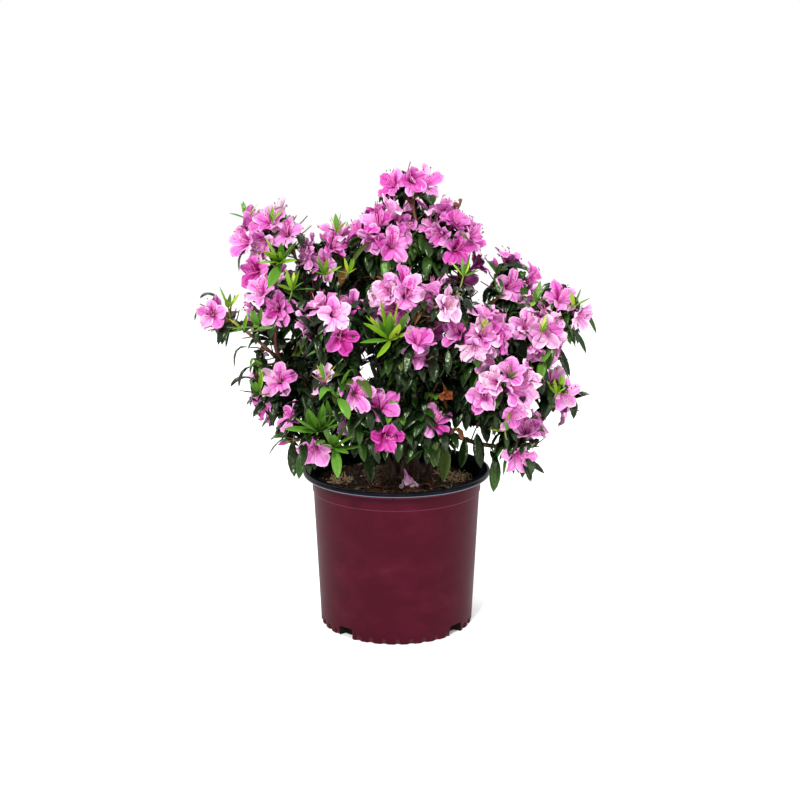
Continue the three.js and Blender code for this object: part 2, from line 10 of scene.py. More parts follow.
import bpy
import numpy as np
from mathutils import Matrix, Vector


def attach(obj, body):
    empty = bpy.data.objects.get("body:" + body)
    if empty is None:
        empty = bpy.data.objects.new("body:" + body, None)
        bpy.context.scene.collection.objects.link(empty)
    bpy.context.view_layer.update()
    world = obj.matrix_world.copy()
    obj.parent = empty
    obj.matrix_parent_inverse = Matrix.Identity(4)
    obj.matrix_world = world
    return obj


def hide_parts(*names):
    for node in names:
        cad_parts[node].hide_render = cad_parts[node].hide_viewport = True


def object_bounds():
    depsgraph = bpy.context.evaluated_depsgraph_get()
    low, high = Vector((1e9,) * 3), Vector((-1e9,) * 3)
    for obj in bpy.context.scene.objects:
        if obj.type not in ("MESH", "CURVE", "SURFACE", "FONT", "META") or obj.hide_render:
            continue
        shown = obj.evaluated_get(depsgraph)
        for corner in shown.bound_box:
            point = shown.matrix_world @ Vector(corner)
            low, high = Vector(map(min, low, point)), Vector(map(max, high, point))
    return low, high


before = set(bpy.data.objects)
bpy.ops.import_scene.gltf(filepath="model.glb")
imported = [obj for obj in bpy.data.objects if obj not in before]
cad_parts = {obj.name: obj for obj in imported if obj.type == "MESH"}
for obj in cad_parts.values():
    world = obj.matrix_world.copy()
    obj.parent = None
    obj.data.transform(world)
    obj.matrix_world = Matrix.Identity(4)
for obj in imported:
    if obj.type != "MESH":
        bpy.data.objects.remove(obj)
cad_low, cad_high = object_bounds()

MM = 0.001
MOST_QUADS = 90000
UP = np.array([0.0, 0.0, 1.0])

# The camera, as the photograph's: its place, how far it looks down, and its focal length in pixels.
PHOTO_WIDTH = 800
CAMERA_PLACE = (5.3, -1760, 715)
CAMERA_PITCH = 12.1
CAMERA_FOCAL = 1215
SENSOR_WIDTH = 36

# The lights, in metres. Each row: name, place, size, power. They face one place in the plant.
LIGHTS = [
    ("key", (-0.7, -2.2, 2.2), 0.4, 72),
    ("fill", (1.9, -1.6, 1.1), 1.4, 18),
    ("back_left", (-1.8, 1.8, 1.8), 1.2, 25),
    ("back_right", (1.6, 2.0, 1.8), 1.2, 25),
]
LIGHT_AIM = (0, 0, 0.4)
FLOOR_HALF = 6

# Pot: a tapered tub with a plain collar band, drain notches and short flutes at its foot, and a rolled lip.
POT_HEIGHT = 235
POT_WALL = 2
BASE_RADIUS = 115
BODY_TOP_RADIUS = 124.5
COLLAR_RADIUS = 126
COLLAR_BOTTOM = 204
RIM_RADIUS = 140
RIM_BOTTOM = 228
RIM_SEAT = 230
POT_TAPER = (BODY_TOP_RADIUS - BASE_RADIUS) / COLLAR_BOTTOM
FOOT_RADIUS = 98
FOOT_RING_TOP = 18
NOTCH = {"count": 4, "width": 25, "height": 15, "depth": 12, "first": 49.5}
FLUTES = {"count": 36, "width": 7, "height": 11, "depth": 2.6, "first": 1}
POT_STEPS = 720
SEAM_TURN = -math.pi / 2 - 0.03
GAP = 0.3
SOIL_TOP = 213
SOIL_RINGS = 60
SOIL_STEPS = 180

# Painted highlight bands along the collar's edges: [height over the collar's bottom, half the band's width].
HIGHLIGHT_BANDS = [(0.5, 0.9), (19.6, 0.8)]

# Bark chips all over the soil, and pale fibres in patches of [x, y, size].
CHIPS = {"count": 2200, "spread": 118, "length": (2.5, 11), "tan": 0.08}
FIBRES = {"count": 520, "spread": 117, "length": (9, 22), "tan": 0.85}
FIBRE_PATCHES = [(92, 26, 30), (92, 26, 30), (-84, 4, 22)]
BOX_QUADS = np.array([[3, 2, 1, 0], [4, 5, 6, 7], [0, 1, 5, 4], [1, 2, 6, 5], [2, 3, 7, 6], [3, 0, 4, 7]])

# Wood: a short flared trunk, stems that fork from it, and boughs that carry the masses.
LIMB_SAG = 0.12
TRUNK = {"foot": (22, 10), "tip": (16, 2, 282), "radius": 14, "tip_radius": 9.5}
FLARE = {"size": 0.6, "fade": 8, "buttresses": 3, "ribs": 0.45}

# Each row: name, parent, place along the parent, far end, radius at the root and at the tip.
LIMBS = [
    ("leader", "trunk", 1.0, (32, -8, 420), 7.5, 5.2),
    ("left_stem", "trunk", 0.7, (-92, -12, 350), 7, 4.8),
    ("right_stem", "trunk", 0.8, (95, -30, 345), 7, 4.8),
    ("front_stem", "trunk", 0.9, (14, -78, 360), 6.2, 4.4),
    ("front_left_stem", "trunk", 0.5, (-58, -75, 325), 6.2, 4.4),
    ("back_left_stem", "trunk", 0.55, (-55, 72, 340), 6.2, 4.4),
    ("back_right_stem", "trunk", 0.65, (75, 75, 340), 6.2, 4.4),
    ("crown_bough", "leader", 1.0, (34, -15, 545), 4.6, 3),
    ("back_top_bough", "leader", 0.8, (18, 72, 490), 4.2, 3),
    ("upper_left_bough", "left_stem", 1.0, (-128, -14, 495), 4.4, 3),
    ("left_bough", "left_stem", 0.85, (-178, -42, 415), 4, 3),
    ("upper_right_bough", "right_stem", 1.0, (152, -5, 455), 4.4, 3),
    ("right_bough", "right_stem", 0.9, (178, -70, 385), 4, 3),
    ("mid_right_bough", "right_stem", 0.7, (96, -105, 415), 4, 3),
    ("low_right_bough", "right_stem", 0.5, (142, -70, 285), 3.8, 3),
    ("centre_bough", "front_stem", 1.0, (10, -105, 440), 4, 3),
    ("low_front_bough", "front_stem", 0.6, (-20, -115, 315), 3.8, 3),
    ("centre_left_bough", "front_left_stem", 1.0, (-72, -122, 420), 4, 3),
    ("low_left_bough", "front_left_stem", 0.75, (-108, -90, 305), 3.8, 3),
    ("back_left_bough", "back_left_stem", 1.0, (-105, 105, 440), 4, 3),
    ("low_back_left_bough", "back_left_stem", 0.7, (-125, 90, 325), 3.8, 3),
    ("back_right_bough", "back_right_stem", 1.0, (110, 108, 440), 4, 3),
    ("low_back_right_bough", "back_right_stem", 0.7, (140, 80, 325), 3.8, 3),
]

# Each row: name, limb, place along it, centre, reach, blooms, further blooms, tone of its petals, and the
# angle in degrees at which its first bloom stands in the ring.
MASSES = [
    ("crown_top", "crown_bough", 1.0, (18, -6, 664), 56, 3, 2, 3, 90),
    ("top_left", "crown_bough", 0.8, (-22, -36, 588), 60, 4, 4, 3, 60),
    ("top_right", "crown_bough", 0.9, (78, -26, 588), 60, 4, 4, 3, 20),
    ("upper_left", "upper_left_bough", 1.0, (-174, -22, 590), 62, 4, 4, 2, 10),
    ("upper_mid", "upper_left_bough", 0.85, (-104, -18, 560), 56, 3, 2, 2, 70),
    ("left_inner", "left_bough", 0.8, (-184, -52, 490), 58, 3, 1, 2, 100),
    ("far_left", "left_bough", 1.0, (-262, -20, 468), 44, 1, 1, 2, 180),
    ("left_low", "left_bough", 0.6, (-188, -56, 370), 60, 3, 0, 2, 150),
    ("centre_left", "centre_left_bough", 1.0, (-90, -150, 478), 56, 2, 2, 3, 140),
    ("mid_low_left", "centre_left_bough", 0.8, (-76, -160, 388), 52, 2, 0, 2, 170),
    ("low_left", "low_left_bough", 1.0, (-132, -116, 314), 58, 2, 0, 2, 150),
    ("centre", "centre_bough", 1.0, (6, -124, 502), 54, 2, 4, 2, 190),
    ("centre_low", "centre_bough", 0.8, (22, -158, 432), 50, 1, 1, 3, 40),
    ("low_front", "low_front_bough", 1.0, (-34, -150, 338), 56, 3, 0, 3, 75),
    ("low_centre", "low_front_bough", 0.8, (48, -128, 330), 54, 1, 0, 3, 60),
    ("front_right", "mid_right_bough", 1.0, (64, -164, 502), 48, 1, 1, 1, 0),
    ("right_mid", "mid_right_bough", 0.8, (112, -140, 456), 58, 4, 4, 2, 35),
    ("right_up", "upper_right_bough", 1.0, (172, 0, 522), 58, 3, 2, 2, 80),
    ("right_far", "upper_right_bough", 0.85, (254, 4, 474), 56, 2, 1, 2, 150),
    ("right_mid_far", "right_bough", 1.0, (206, -62, 448), 60, 4, 4, 2, 30),
    ("right_low", "right_bough", 0.75, (150, -138, 382), 64, 5, 4, 2, 10),
    ("right_edge", "right_bough", 0.9, (238, -34, 350), 56, 2, 0, 2, 120),
    ("right_bottom", "low_right_bough", 1.0, (186, -76, 296), 56, 2, 1, 2, 50),
    ("back_top", "back_top_bough", 1.0, (22, 92, 590), 60, 3, 2, 3, 90),
    ("back_top_left", "back_top_bough", 0.8, (-70, 102, 532), 60, 3, 2, 2, 120),
    ("back_top_right", "back_right_bough", 1.0, (98, 98, 526), 60, 3, 2, 3, 45),
    ("back_left", "back_left_bough", 1.0, (-172, 96, 486), 62, 3, 2, 2, 150),
    ("back_mid_left", "back_left_bough", 0.8, (-72, 172, 436), 60, 3, 2, 2, 100),
    ("back_right", "back_right_bough", 0.8, (190, 100, 440), 62, 3, 2, 3, 20),
    ("back_mid_right", "back_right_bough", 0.6, (54, 180, 440), 60, 3, 2, 2, 80),
    ("low_back_left", "low_back_left_bough", 1.0, (-152, 120, 346), 60, 2, 1, 2, 160),
    ("low_back", "back_left_stem", 0.85, (-8, 158, 330), 60, 2, 1, 3, 90),
    ("low_back_right", "low_back_right_bough", 1.0, (140, 138, 336), 60, 2, 1, 2, 30),
]

# Thinner stems that rise from the soil beside the trunk. Each row: foot, limb that it meets, place, radius.
BASAL_STEMS = [
    ((-6, -14), "front_left_stem", 0.55, 5.5),
    ((46, -8), "right_stem", 0.6, 6),
    ((30, -18), "front_stem", 0.5, 4.5),
    ((2, 34), "back_left_stem", 0.5, 5),
    ((48, 30), "back_right_stem", 0.5, 5),
]
BARK_RELIEF = {"limb": 0.07, "basal": 0.1}

# Seeds of the rows of numbers by which everything grows.
FIRST_SEED = 100
SEED_STEP = 37
INNER_SEED_STEP = 31
SEEDS = {
    "bark": 77, "litter": 404, "withered": 606, "placed": 707, "chips": 911,
    "inner_leaves": 5000, "inner_sprays": 8000,
}

# How a mass grows, as its solid does: a stem from its limb, and shoots that end in a bloom or bare.
CROWN_HEART = np.array([15.0, 5.0, 260.0])
FACE_BIAS = 100
LIFT_SHARE = 0.5
STEM_RADIUS = (2.8, 2.3)
STEM_BEND = 0.4
STEM_DEPTH = 0.45
SHOOT_RADIUS = (1.5, 1.3)
SHOOT_BEND = 0.45
SHOOT_START = 0.97
SHOOT_ZONE = 0.45
SHOOT_SHIFT = 0.3
SHOOT_STEPS = (0, 9, -9, 18)
JITTER = 12
RING_LOOK = (0.75, 0.6)
MIDDLE_LOOK = (1, 0.15)
MIDDLE_LIFT = 0.6
LONE_SPREAD = 0.3
BARE_TURN = 60
BARE_LOOK = (0.5, 0.8)
BARE_SPREAD = 0.9
BARE_DEPTH = 0.15
BLOOM_RADIUS = 26
BLOOM_TUBE = 24
REACH_OF_LEAVES = 1.2

# What the solid leaves out: side twigs, whorls of leaves, and the further blooms of a full truss.
SIDE_TWIG = {"length": (24, 38), "radius": (1.1, 0.8), "lean": 0.55, "lift": 0.15, "cut": 0.6, "tan": 0.3}
SHOOT_TAN_SHARE = 0.25
BLOOM_TWIG = {"from": 0.9, "radius": (1.3, 1.1), "bend": 0.4, "tube": 0.95}
FRESH_TWIG = {"radius": (1.4, 1.1), "bend": 0.35}
LONE_TWIG = {"radius": (1.3, 0.9), "lift": 6}
DRY_TWIG = {"radius": (1.1, 0.6), "length": (18, 42), "bend": 0.6}
THICK_TWIG_SIDES = 6
GOLDEN_ANGLE = 137.5
WHORL = {"leaves": 6, "collar": 5, "angle": (50, 95), "length": (33, 51), "width": (0.31, 0.40)}
LEAF = {"droop": (0.7, 1.9), "fold": 0.4, "twist": (-0.5, 0.5), "brown": 0.025}
FRESH = {"open": (12, 74), "length": (0.7, 1.1), "droop": (0, 0.5), "fold": 0.5, "twist": (-0.4, 0.4)}
STEM_TWIG_PLACES = (0.25, 0.42, 0.56, 0.68, 0.79, 0.89, 0.97)
SHOOT_TWIG_PLACES = (0.3, 0.5, 0.68, 0.82)
LIMB_TWIG_PLACES = (0.45, 0.55, 0.65, 0.75, 0.85, 0.92, 0.98)
SPRAY_TWIG_PLACES = (0.5, 0.7, 0.85)
INNER = {"from": 330, "reach": 75, "leaves": 6, "spray": 7, "tip": 8}
TRUSS = {"tries": 220, "tilt": (10, 100), "away": (0.4, 0.62), "size": (0.88, 1.04), "opening": (0.15, 0.9)}

# Room round blooms and leaves, and how far they may pass the box of the solids.
TRUSS_ROOM = 25
BLOOM_ROOM = 31
BLOOM_MARGIN = 24
LEAF_ROOM = 15
SKY_ROOM = {"bloom": 16, "leaf": 3}
LEAF_TOP_MARGIN = 14
FRESH_SLACK = 8
PAST_BOX = {"low": (6, 2, 4), "high": (6, 2, 2)}
CLEARANCE = {"lip": 3, "over_lip": 2, "inside": 8, "soil": 4, "wood": 1.5}
OUTLOOK = {"width": 14, "depth": 60}

# Buds, the new shoots at the back, and single things.
BUD_SHARE = 0.3
BACK_WHORL = {"from": 80, "leaves": 6, "length": 30, "upright": 1, "reach": 0.56, "rise": 12}
FALLEN_BLOOM = {"place": (12, -44, 243), "facing": (0.3, -0.45, -0.85), "size": 0.7, "opening": 0.1}
WITHERED_BLOOM = {"mass": "low_centre", "place": (66, -128, 384), "facing": (0.2, -0.5, -0.8), "size": 0.45}
LITTER = {"twigs": 26, "leaves": 12, "middle": (4, -20), "spread": 62}

# Blooms at places of their own. Each row: mass, heart of the bloom, the way it faces, tone.
PLACED_BLOOMS = [
    ("centre", (-34, -112, 499), (-0.2, -0.9, 0.4), 2),
    ("centre", (-62, -104, 490), (-0.4, -0.9, 0.2), 3),
    ("centre", (-14, -126, 478), (0, -1, 0.5), 1),
    # This bloom's deeper tone is painted shade, for a bloom that stands in shade behind twigs.
    ("centre_low", (46, -104, 456), (0.2, -0.9, 0), 4),
    ("upper_left", (-214, -40, 574), (-0.6, -0.7, 0.2), 2),
    ("upper_left", (-200, -44, 532), (-0.5, -0.8, -0.1), 3),
    ("upper_left", (-158, -62, 596), (0.1, -0.9, 0.4), 2),
    ("top_left", (-32, -48, 614), (-0.3, -0.8, 0.4), 3),
    ("right_edge", (243, -54, 358), (0.5, -0.8, 0), 2),
    ("right_edge", (232, -60, 388), (0.4, -0.8, 0.4), 3),
]

# Lone leaves by the lip, over the soil and at the crown's edge. Each row: limb, place along it, the leaf's
# root, the way that it leaves, how far it hooks over, its length, its tone.
LONE_LEAVES = [
    ("low_right_bough", 0.9, (143, -62, 268), (-0.05, -0.25, -1), 0, 52, 2),
    ("low_right_bough", 0.7, (116, -62, 302), (0.08, -0.25, -1), 0, 50, 0),
    ("low_right_bough", 0.6, (98, -66, 296), (-0.1, -0.3, -1), 0, 44, 1),
    ("low_right_bough", 0.6, (126, -62, 334), (0.06, -0.25, -1), 0, 46, 0),
    ("low_left_bough", 1.0, (-150, -66, 290), (0.06, -0.25, -1), 0, 50, 1),
    ("low_left_bough", 0.9, (-136, -80, 284), (-0.04, -0.3, -1), 0, 44, 2),
    ("front_stem", 0.4, (70, -62, 288), (-0.04, -0.25, -1), 0, 56, 3),
    ("front_left_stem", 0.6, (-40, -66, 278), (0.06, -0.3, -1), 0, 48, 1),
    ("upper_left_bough", 1.0, (-202, -40, 562), (-0.9, -0.15, 0.1), 2.4, 46, 1),
    ("left_bough", 1.0, (-212, -42, 424), (-0.9, -0.15, 0.1), 2.4, 46, 1),
    ("left_bough", 0.8, (-206, -50, 398), (-0.7, -0.3, -0.2), 2, 42, 0),
    ("upper_right_bough", 1.0, (252, -22, 448), (0.5, -0.15, -0.5), 1.2, 44, 1),
    ("right_bough", 1.0, (234, -34, 424), (0.3, -0.25, -0.9), 0.4, 46, 0),
]

# Leafy sprays inside the crown, between its front and back halves. Each row: limb, place along it, tip.
INNER_SPRAYS = [
    ("leader", 0.6, (14, 34, 400)),
    ("leader", 0.4, (58, 36, 372)),
    ("back_top_bough", 0.4, (-14, 40, 440)),
    ("back_left_stem", 0.7, (-26, 34, 356)),
    ("back_right_stem", 0.7, (40, 36, 346)),
    ("back_left_stem", 0.9, (-52, 26, 412)),
    ("back_right_stem", 0.9, (80, 30, 418)),
    ("left_stem", 0.8, (-92, 34, 392)),
    ("right_stem", 0.8, (104, 36, 378)),
]

# Where the photograph shows sky between the boughs: [x, z, radius] of round windows in the plane of the
# trunk, as the camera sees them. Leaves and the further blooms keep out of them.
SKY = np.array([
    (120, 523, 18), (116, 546, 15), (285, 320, 15), (150, 557, 14), (195, 557, 16), (-117, 588, 17),
    (-57, 590, 11), (-172, 636, 12), (-150, 626, 13), (-128, 616, 13), (-244, 491, 19), (-214, 469, 13),
    (-278, 438, 12), (113, 619, 17), (-18, 656, 11), (64, 659, 12), (241, 297, 20), (225, 259, 17),
    (-230, 348, 14), (-163, 254, 15), (-150, 225, 13), (272, 501, 10), (-43, 377, 8), (82, 521, 7),
    (-186, 407, 7), (198, 323, 10),
])

# Spring-green new shoots. Each row: mass, tip of the twig, leaves in the whorl, their length, and how
# upright the twig ends.
FRESH_WHORLS = [
    ("upper_left", (-160, -84, 550), 9, 46, 0.5),
    ("upper_left", (-172, -60, 606), 4, 26, 1.4),
    ("upper_left", (-214, -20, 606), 4, 28, 1.4),
    ("upper_mid", (-84, -36, 588), 5, 30, 1.4),
    ("upper_mid", (-99, -84, 532), 7, 28, 1.4),
    ("upper_mid", (-66, -80, 534), 5, 26, 1.4),
    ("left_inner", (-143, -96, 512), 6, 32, 0.9),
    ("left_inner", (-190, -108, 462), 7, 40, 0.9),
    ("left_inner", (-214, -76, 454), 5, 30, 0.9),
    ("far_left", (-240, -34, 480), 4, 30, 1.4),
    ("centre", (-8, -160, 454), 16, 54, 1.2),
    ("front_right", (92, -96, 532), 5, 34, 1.4),
    ("right_up", (196, -64, 492), 5, 30, 1.4),
    ("right_far", (254, -24, 480), 5, 32, 1.4),
    ("right_mid", (116, -160, 470), 4, 22, 1.4),
    ("right_mid_far", (200, -116, 458), 5, 26, 1.4),
    ("right_low", (148, -160, 400), 6, 26, 1.4),
    ("right_edge", (228, -76, 362), 7, 30, 1.4),
    ("low_left", (-106, -160, 328), 10, 52, 0.5),
    ("low_left", (-84, -160, 306), 8, 46, 0.5),
    ("low_left", (-88, -160, 350), 6, 32, 0.5),
    ("left_low", (-190, -112, 372), 5, 34, 0.5),
    ("mid_low_left", (-96, -160, 400), 4, 28, 1.4),
    ("right_bottom", (150, -130, 322), 5, 36, 1.4),
]


def dice(seed):
    """A seeded row of numbers between 0 and 1."""
    state = seed

    def roll():
        nonlocal state
        state = state * 16807 % 2147483647
        return state / 2147483647

    return roll


def between(low, high, share):
    return low + (high - low) * share


def unit(vector):
    return np.asarray(vector, float) / np.linalg.norm(vector)


def ease(low, high, values):
    """0 below low, 1 above high, and a smooth step between."""
    share = np.clip((np.asarray(values, float) - low) / (high - low), 0, 1)
    return share * share * (3 - 2 * share)


def across(way):
    """Two directions square to a way, the first of them level."""
    level = np.cross(UP, way)
    if np.linalg.norm(level) < 0.05:
        level = np.array([1.0, 0.0, 0.0])
    level = unit(level)
    return level, np.cross(way, level)

def spoke(axis, angle):
    """The way square to an axis, at an angle round it from the level one."""
    level, rise = across(axis)
    return level * math.cos(angle) + rise * math.sin(angle)


def opened(axis, angle, open_by):
    """A way that opens from an axis by one angle, and lies at another angle round it."""
    return unit(axis * math.cos(open_by) + spoke(axis, angle) * math.sin(open_by))


def full_turn(steps):
    """Evenly spread angles, once round."""
    return np.arange(steps) * 2 * np.pi / steps


def about_axis(radius, turns, height):
    """Points at a radius from the pot's axis."""
    return np.stack(np.broadcast_arrays(radius * np.cos(turns), radius * np.sin(turns), height), axis=-1)


def grid_quads(rows, columns, closed=False):
    """The quads between neighbouring points of a grid that is stored row by row."""
    last = columns if closed else columns - 1
    row, column = np.meshgrid(np.arange(rows - 1), np.arange(last), indexing="ij")
    here = row * columns + column
    beside = row * columns + (column + 1) % columns
    return np.stack([here, beside, beside + columns, here + columns], axis=-1).reshape(-1, 4)


class Curve:
    """A bent line from one point to another, read by shares of its length."""

    def __init__(self, start, bend, end):
        t = np.linspace(0, 1, 25)[:, None]
        self.line = (1 - t) ** 2 * start + 2 * t * (1 - t) * bend + t**2 * end
        steps = np.linalg.norm(np.diff(self.line, axis=0), axis=1)
        self.length = steps.sum()
        self.shares = np.concatenate([[0], np.cumsum(steps)]) / self.length

    def at(self, share):
        return np.stack([np.interp(share, self.shares, self.line[:, k]) for k in range(3)], axis=-1)

    def way(self, share):
        return unit(self.at(min(share + 0.02, 1.0)) - self.at(max(share - 0.02, 0.0)))


def leaving(start, way, end, bend):
    return Curve(start, start + way * bend * np.linalg.norm(end - start), end)


def arriving(start, end, way, bend):
    return Curve(start, end - way * bend * np.linalg.norm(end - start), end)


def tube(centres, radii, sides):
    """The points and quads of a closed tube. Radii are one to a ring, or one to each of its corners."""
    centres = np.asarray(centres, float)
    radii = np.asarray(radii, float).reshape(len(centres), -1)
    ways = np.gradient(centres, axis=0)
    ways /= np.linalg.norm(ways, axis=1, keepdims=True)
    side = across(ways[0])[0]
    turns = full_turn(sides)
    rings = []
    for centre, way, radius in zip(centres, ways, radii):
        side = unit(side - way * side.dot(way))
        other = np.cross(way, side)
        spokes = np.cos(turns)[:, None] * side + np.sin(turns)[:, None] * other
        rings.append(centre + np.broadcast_to(radius, sides)[:, None] * spokes)
    wall = grid_quads(len(centres), sides, closed=True)
    fan = np.array([[0, k, k + 1, k + 2] for k in range(1, sides - 2, 2)])
    last = (len(centres) - 1) * sides
    return np.concatenate(rings), np.concatenate([wall, fan[:, ::-1], fan + last])


class Pile:
    """Meshes of one kind, gathered to be made into pieces. The tone of a quad picks its material."""

    def __init__(self):
        self.parts = []

    def add(self, points, quads, tone=0):
        self.parts.append((points, quads, np.broadcast_to(tone, len(quads))))

    def pieces(self, name, slot, materials, replaced=()):
        """One piece, or several where one would have too many faces."""
        groups = [[]]
        size = 0
        for part in self.parts:
            if size + len(part[1]) > MOST_QUADS:
                groups.append([])
                size = 0
            groups[-1].append(part)
            size += len(part[1])
        for number, group in enumerate(groups, 1):
            points, quads, tones = zip(*group)
            starts = np.cumsum([0, *map(len, points[:-1])])
            quads = np.concatenate([part + start for part, start in zip(quads, starts)])
            points, tones = np.concatenate(points), np.concatenate(tones)
            label = name if len(groups) == 1 else f"{name}_{number}"
            make_piece(label, points, quads, materials, replaced, tones)


def place_object(name, data):
    """A new object in the scene."""
    item = bpy.data.objects.new(name, data)
    bpy.context.scene.collection.objects.link(item)
    return item


def make_piece(name, points, quads, materials, replaced=(), tones=0):
    """One mesh object that rides on the plant's body and stands for the nodes that it replaces."""
    mesh = bpy.data.meshes.new(name)
    mesh.vertices.add(len(points))
    mesh.vertices.foreach_set("co", (np.asarray(points, np.float32) * MM).ravel())
    mesh.loops.add(4 * len(quads))
    mesh.loops.foreach_set("vertex_index", quads.astype(np.int32).ravel())
    mesh.polygons.add(len(quads))
    mesh.polygons.foreach_set("loop_start", np.arange(len(quads), dtype=np.int32) * 4)
    for material in materials:
        mesh.materials.append(material)
    mesh.polygons.foreach_set("material_index", np.broadcast_to(tones, len(quads)).astype(np.int32))
    mesh.polygons.foreach_set("use_smooth", np.ones(len(quads), bool))
    mesh.update(calc_edges=True)
    piece = place_object(name, mesh)
    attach(piece, "root")
    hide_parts(*replaced)


# Materials

def shader(name, colour, roughness, specular, tint=(1, 1, 1)):
    """A new material with plain values on its shader's sockets. The tint colours its gloss."""
    material = bpy.data.materials.new(name)
    material.use_nodes = True
    surface = material.node_tree.nodes["Principled BSDF"]
    surface.inputs["Base Color"].default_value = (*colour, 1)
    surface.inputs["Roughness"].default_value = roughness
    surface.inputs["Specular IOR Level"].default_value = specular
    surface.inputs["Specular Tint"].default_value = (*tint, 1)
    return material, surface


def add_node(material, kind, **inputs):
    node = material.node_tree.nodes.new(kind)
    for name, value in inputs.items():
        node.inputs[name.replace("_", " ")].default_value = value
    return node


def noise(material, scale, detail=4, stretch=(1, 1, 1)):
    """Noise in the piece's own coordinates, in grains to the metre. The stretch squeezes its axes."""
    link = material.node_tree.links.new
    place = material.node_tree.nodes.new("ShaderNodeTexCoord")
    mapping = add_node(material, "ShaderNodeMapping", Scale=stretch)
    grain = add_node(material, "ShaderNodeTexNoise", Scale=scale, Detail=detail, Roughness=0.6)
    link(place.outputs["Object"], mapping.inputs["Vector"])
    link(mapping.outputs["Vector"], grain.inputs["Vector"])
    return grain.outputs["Fac"]


def paint(material, surface, value, stops):
    """The base colour, from a ramp of [position, colour] by a value from 0 to 1."""
    node = material.node_tree.nodes.new("ShaderNodeValToRGB")
    while len(node.color_ramp.elements) < len(stops):
        node.color_ramp.elements.new(0.5)
    for element, (position, colour) in zip(node.color_ramp.elements, stops):
        element.position = position
        element.color = (*colour, 1)
    material.node_tree.links.new(value, node.inputs["Fac"])
    material.node_tree.links.new(node.outputs["Color"], surface.inputs["Base Color"])


def roughen(material, surface, value, low, high):
    link = material.node_tree.links.new
    spread = add_node(material, "ShaderNodeMapRange", To_Min=low, To_Max=high)
    link(value, spread.inputs["Value"])
    link(spread.outputs["Result"], surface.inputs["Roughness"])


def emboss(material, surface, height, distance):
    """Bump of a depth in millimetres."""
    link = material.node_tree.links.new
    bump = add_node(material, "ShaderNodeBump", Distance=distance * MM, Strength=1)
    link(height, bump.inputs["Height"])
    link(bump.outputs["Normal"], surface.inputs["Normal"])


def plant_material(name, colour, roughness, specular, grain, depth):
    """A leaf's or petal's own plain colour, with a fine grain in its gloss and surface."""
    material, surface = shader(name, colour, roughness, specular)
    fine = noise(material, grain)
    roughen(material, surface, fine, roughness - 0.08, roughness + 0.08)
    emboss(material, surface, fine, depth)
    return material

def plain(rows):
    """The materials of a table of plain ones."""
    return [plant_material(*row) for row in rows]


# Plain materials. Each row: name, colour, roughness, gloss, grains to the metre, and their depth. The petals
# go from nearly white pink to the deep magenta of the throat.
PETAL_LADDER = [
    (0.80, 0.54, 0.68), (0.72, 0.37, 0.60), (0.64, 0.235, 0.52), (0.58, 0.135, 0.44),
    (0.50, 0.065, 0.34), (0.40, 0.022, 0.23), (0.28, 0.006, 0.12),
]
PETAL_PAINTS = [
    *((f"petal_{i}", colour, 0.6, 0.15, 330, 0.7) for i, colour in enumerate(PETAL_LADDER)),
    ("petal_withered", (0.30, 0.085, 0.022), 0.7, 0.15, 400, 0.8),
]
PALEST, BUD_PINK, DEEPEST, WITHERED = 0, 4, 6, 7

STAMEN_PAINTS = [
    ("filament", (0.80, 0.22, 0.50), 0.5, 0.3, 1500, 0.05),
    ("anther", (0.10, 0.030, 0.045), 0.7, 0.2, 2000, 0.05),
    ("calyx", (0.16, 0.26, 0.05), 0.5, 0.3, 1500, 0.05),
]
FILAMENT, ANTHER, CALYX = range(3)

TWIG_PAINTS = [
    ("twig_red", (0.150, 0.055, 0.035), 0.6, 0.3, 700, 0.2),
    ("twig_tan", (0.260, 0.150, 0.085), 0.65, 0.3, 700, 0.2),
    ("twig_green", (0.190, 0.240, 0.060), 0.55, 0.3, 700, 0.1),
]
TWIG_RED, TWIG_TAN, TWIG_GREEN = range(3)

# Painted highlights along the collar's edges, the black inside, a paler browner tone on the flutes' faces,
# and painted shade on the notches' faces.
POT_PAINTS = [
    ("collar_highlight", (0.115, 0.020, 0.038), 0.5, 0.05, 500, 0.05),
    ("inner_black", (0.0025, 0.0030, 0.0045), 0.7, 0.0, 500, 0.1),
    ("flute_brown", (0.060, 0.018, 0.017), 0.8, 0.05, 700, 0.3),
    ("notch_shade", (0.006, 0.003, 0.003), 0.8, 0.1, 500, 0.1),
]
POT_WINE, POT_HIGHLIGHT, POT_INSIDE, POT_FLUTE_BROWN, POT_NOTCH_SHADE = range(5)

# The first row is a painted highlight: a pale line along the lip's lower outer edge.
LIP_PAINTS = [
    ("lip_highlight", (0.120, 0.140, 0.180), 0.35, 0.3, 500, 0.05),
    ("lip_shade", (0.0045, 0.0055, 0.0085), 0.7, 0.0, 500, 0.1),
]
LIP_BLACK, LIP_HIGHLIGHT, LIP_SHADE = range(3)

CHIP_PAINTS = [
    ("chip_dark", (0.050, 0.026, 0.016), 0.9, 0.2, 500, 0.4),
    ("chip_red", (0.130, 0.055, 0.030), 0.9, 0.2, 500, 0.4),
    ("chip_tan", (0.860, 0.640, 0.360), 0.9, 0.2, 500, 0.3),
]
CHIP_TAN = 2

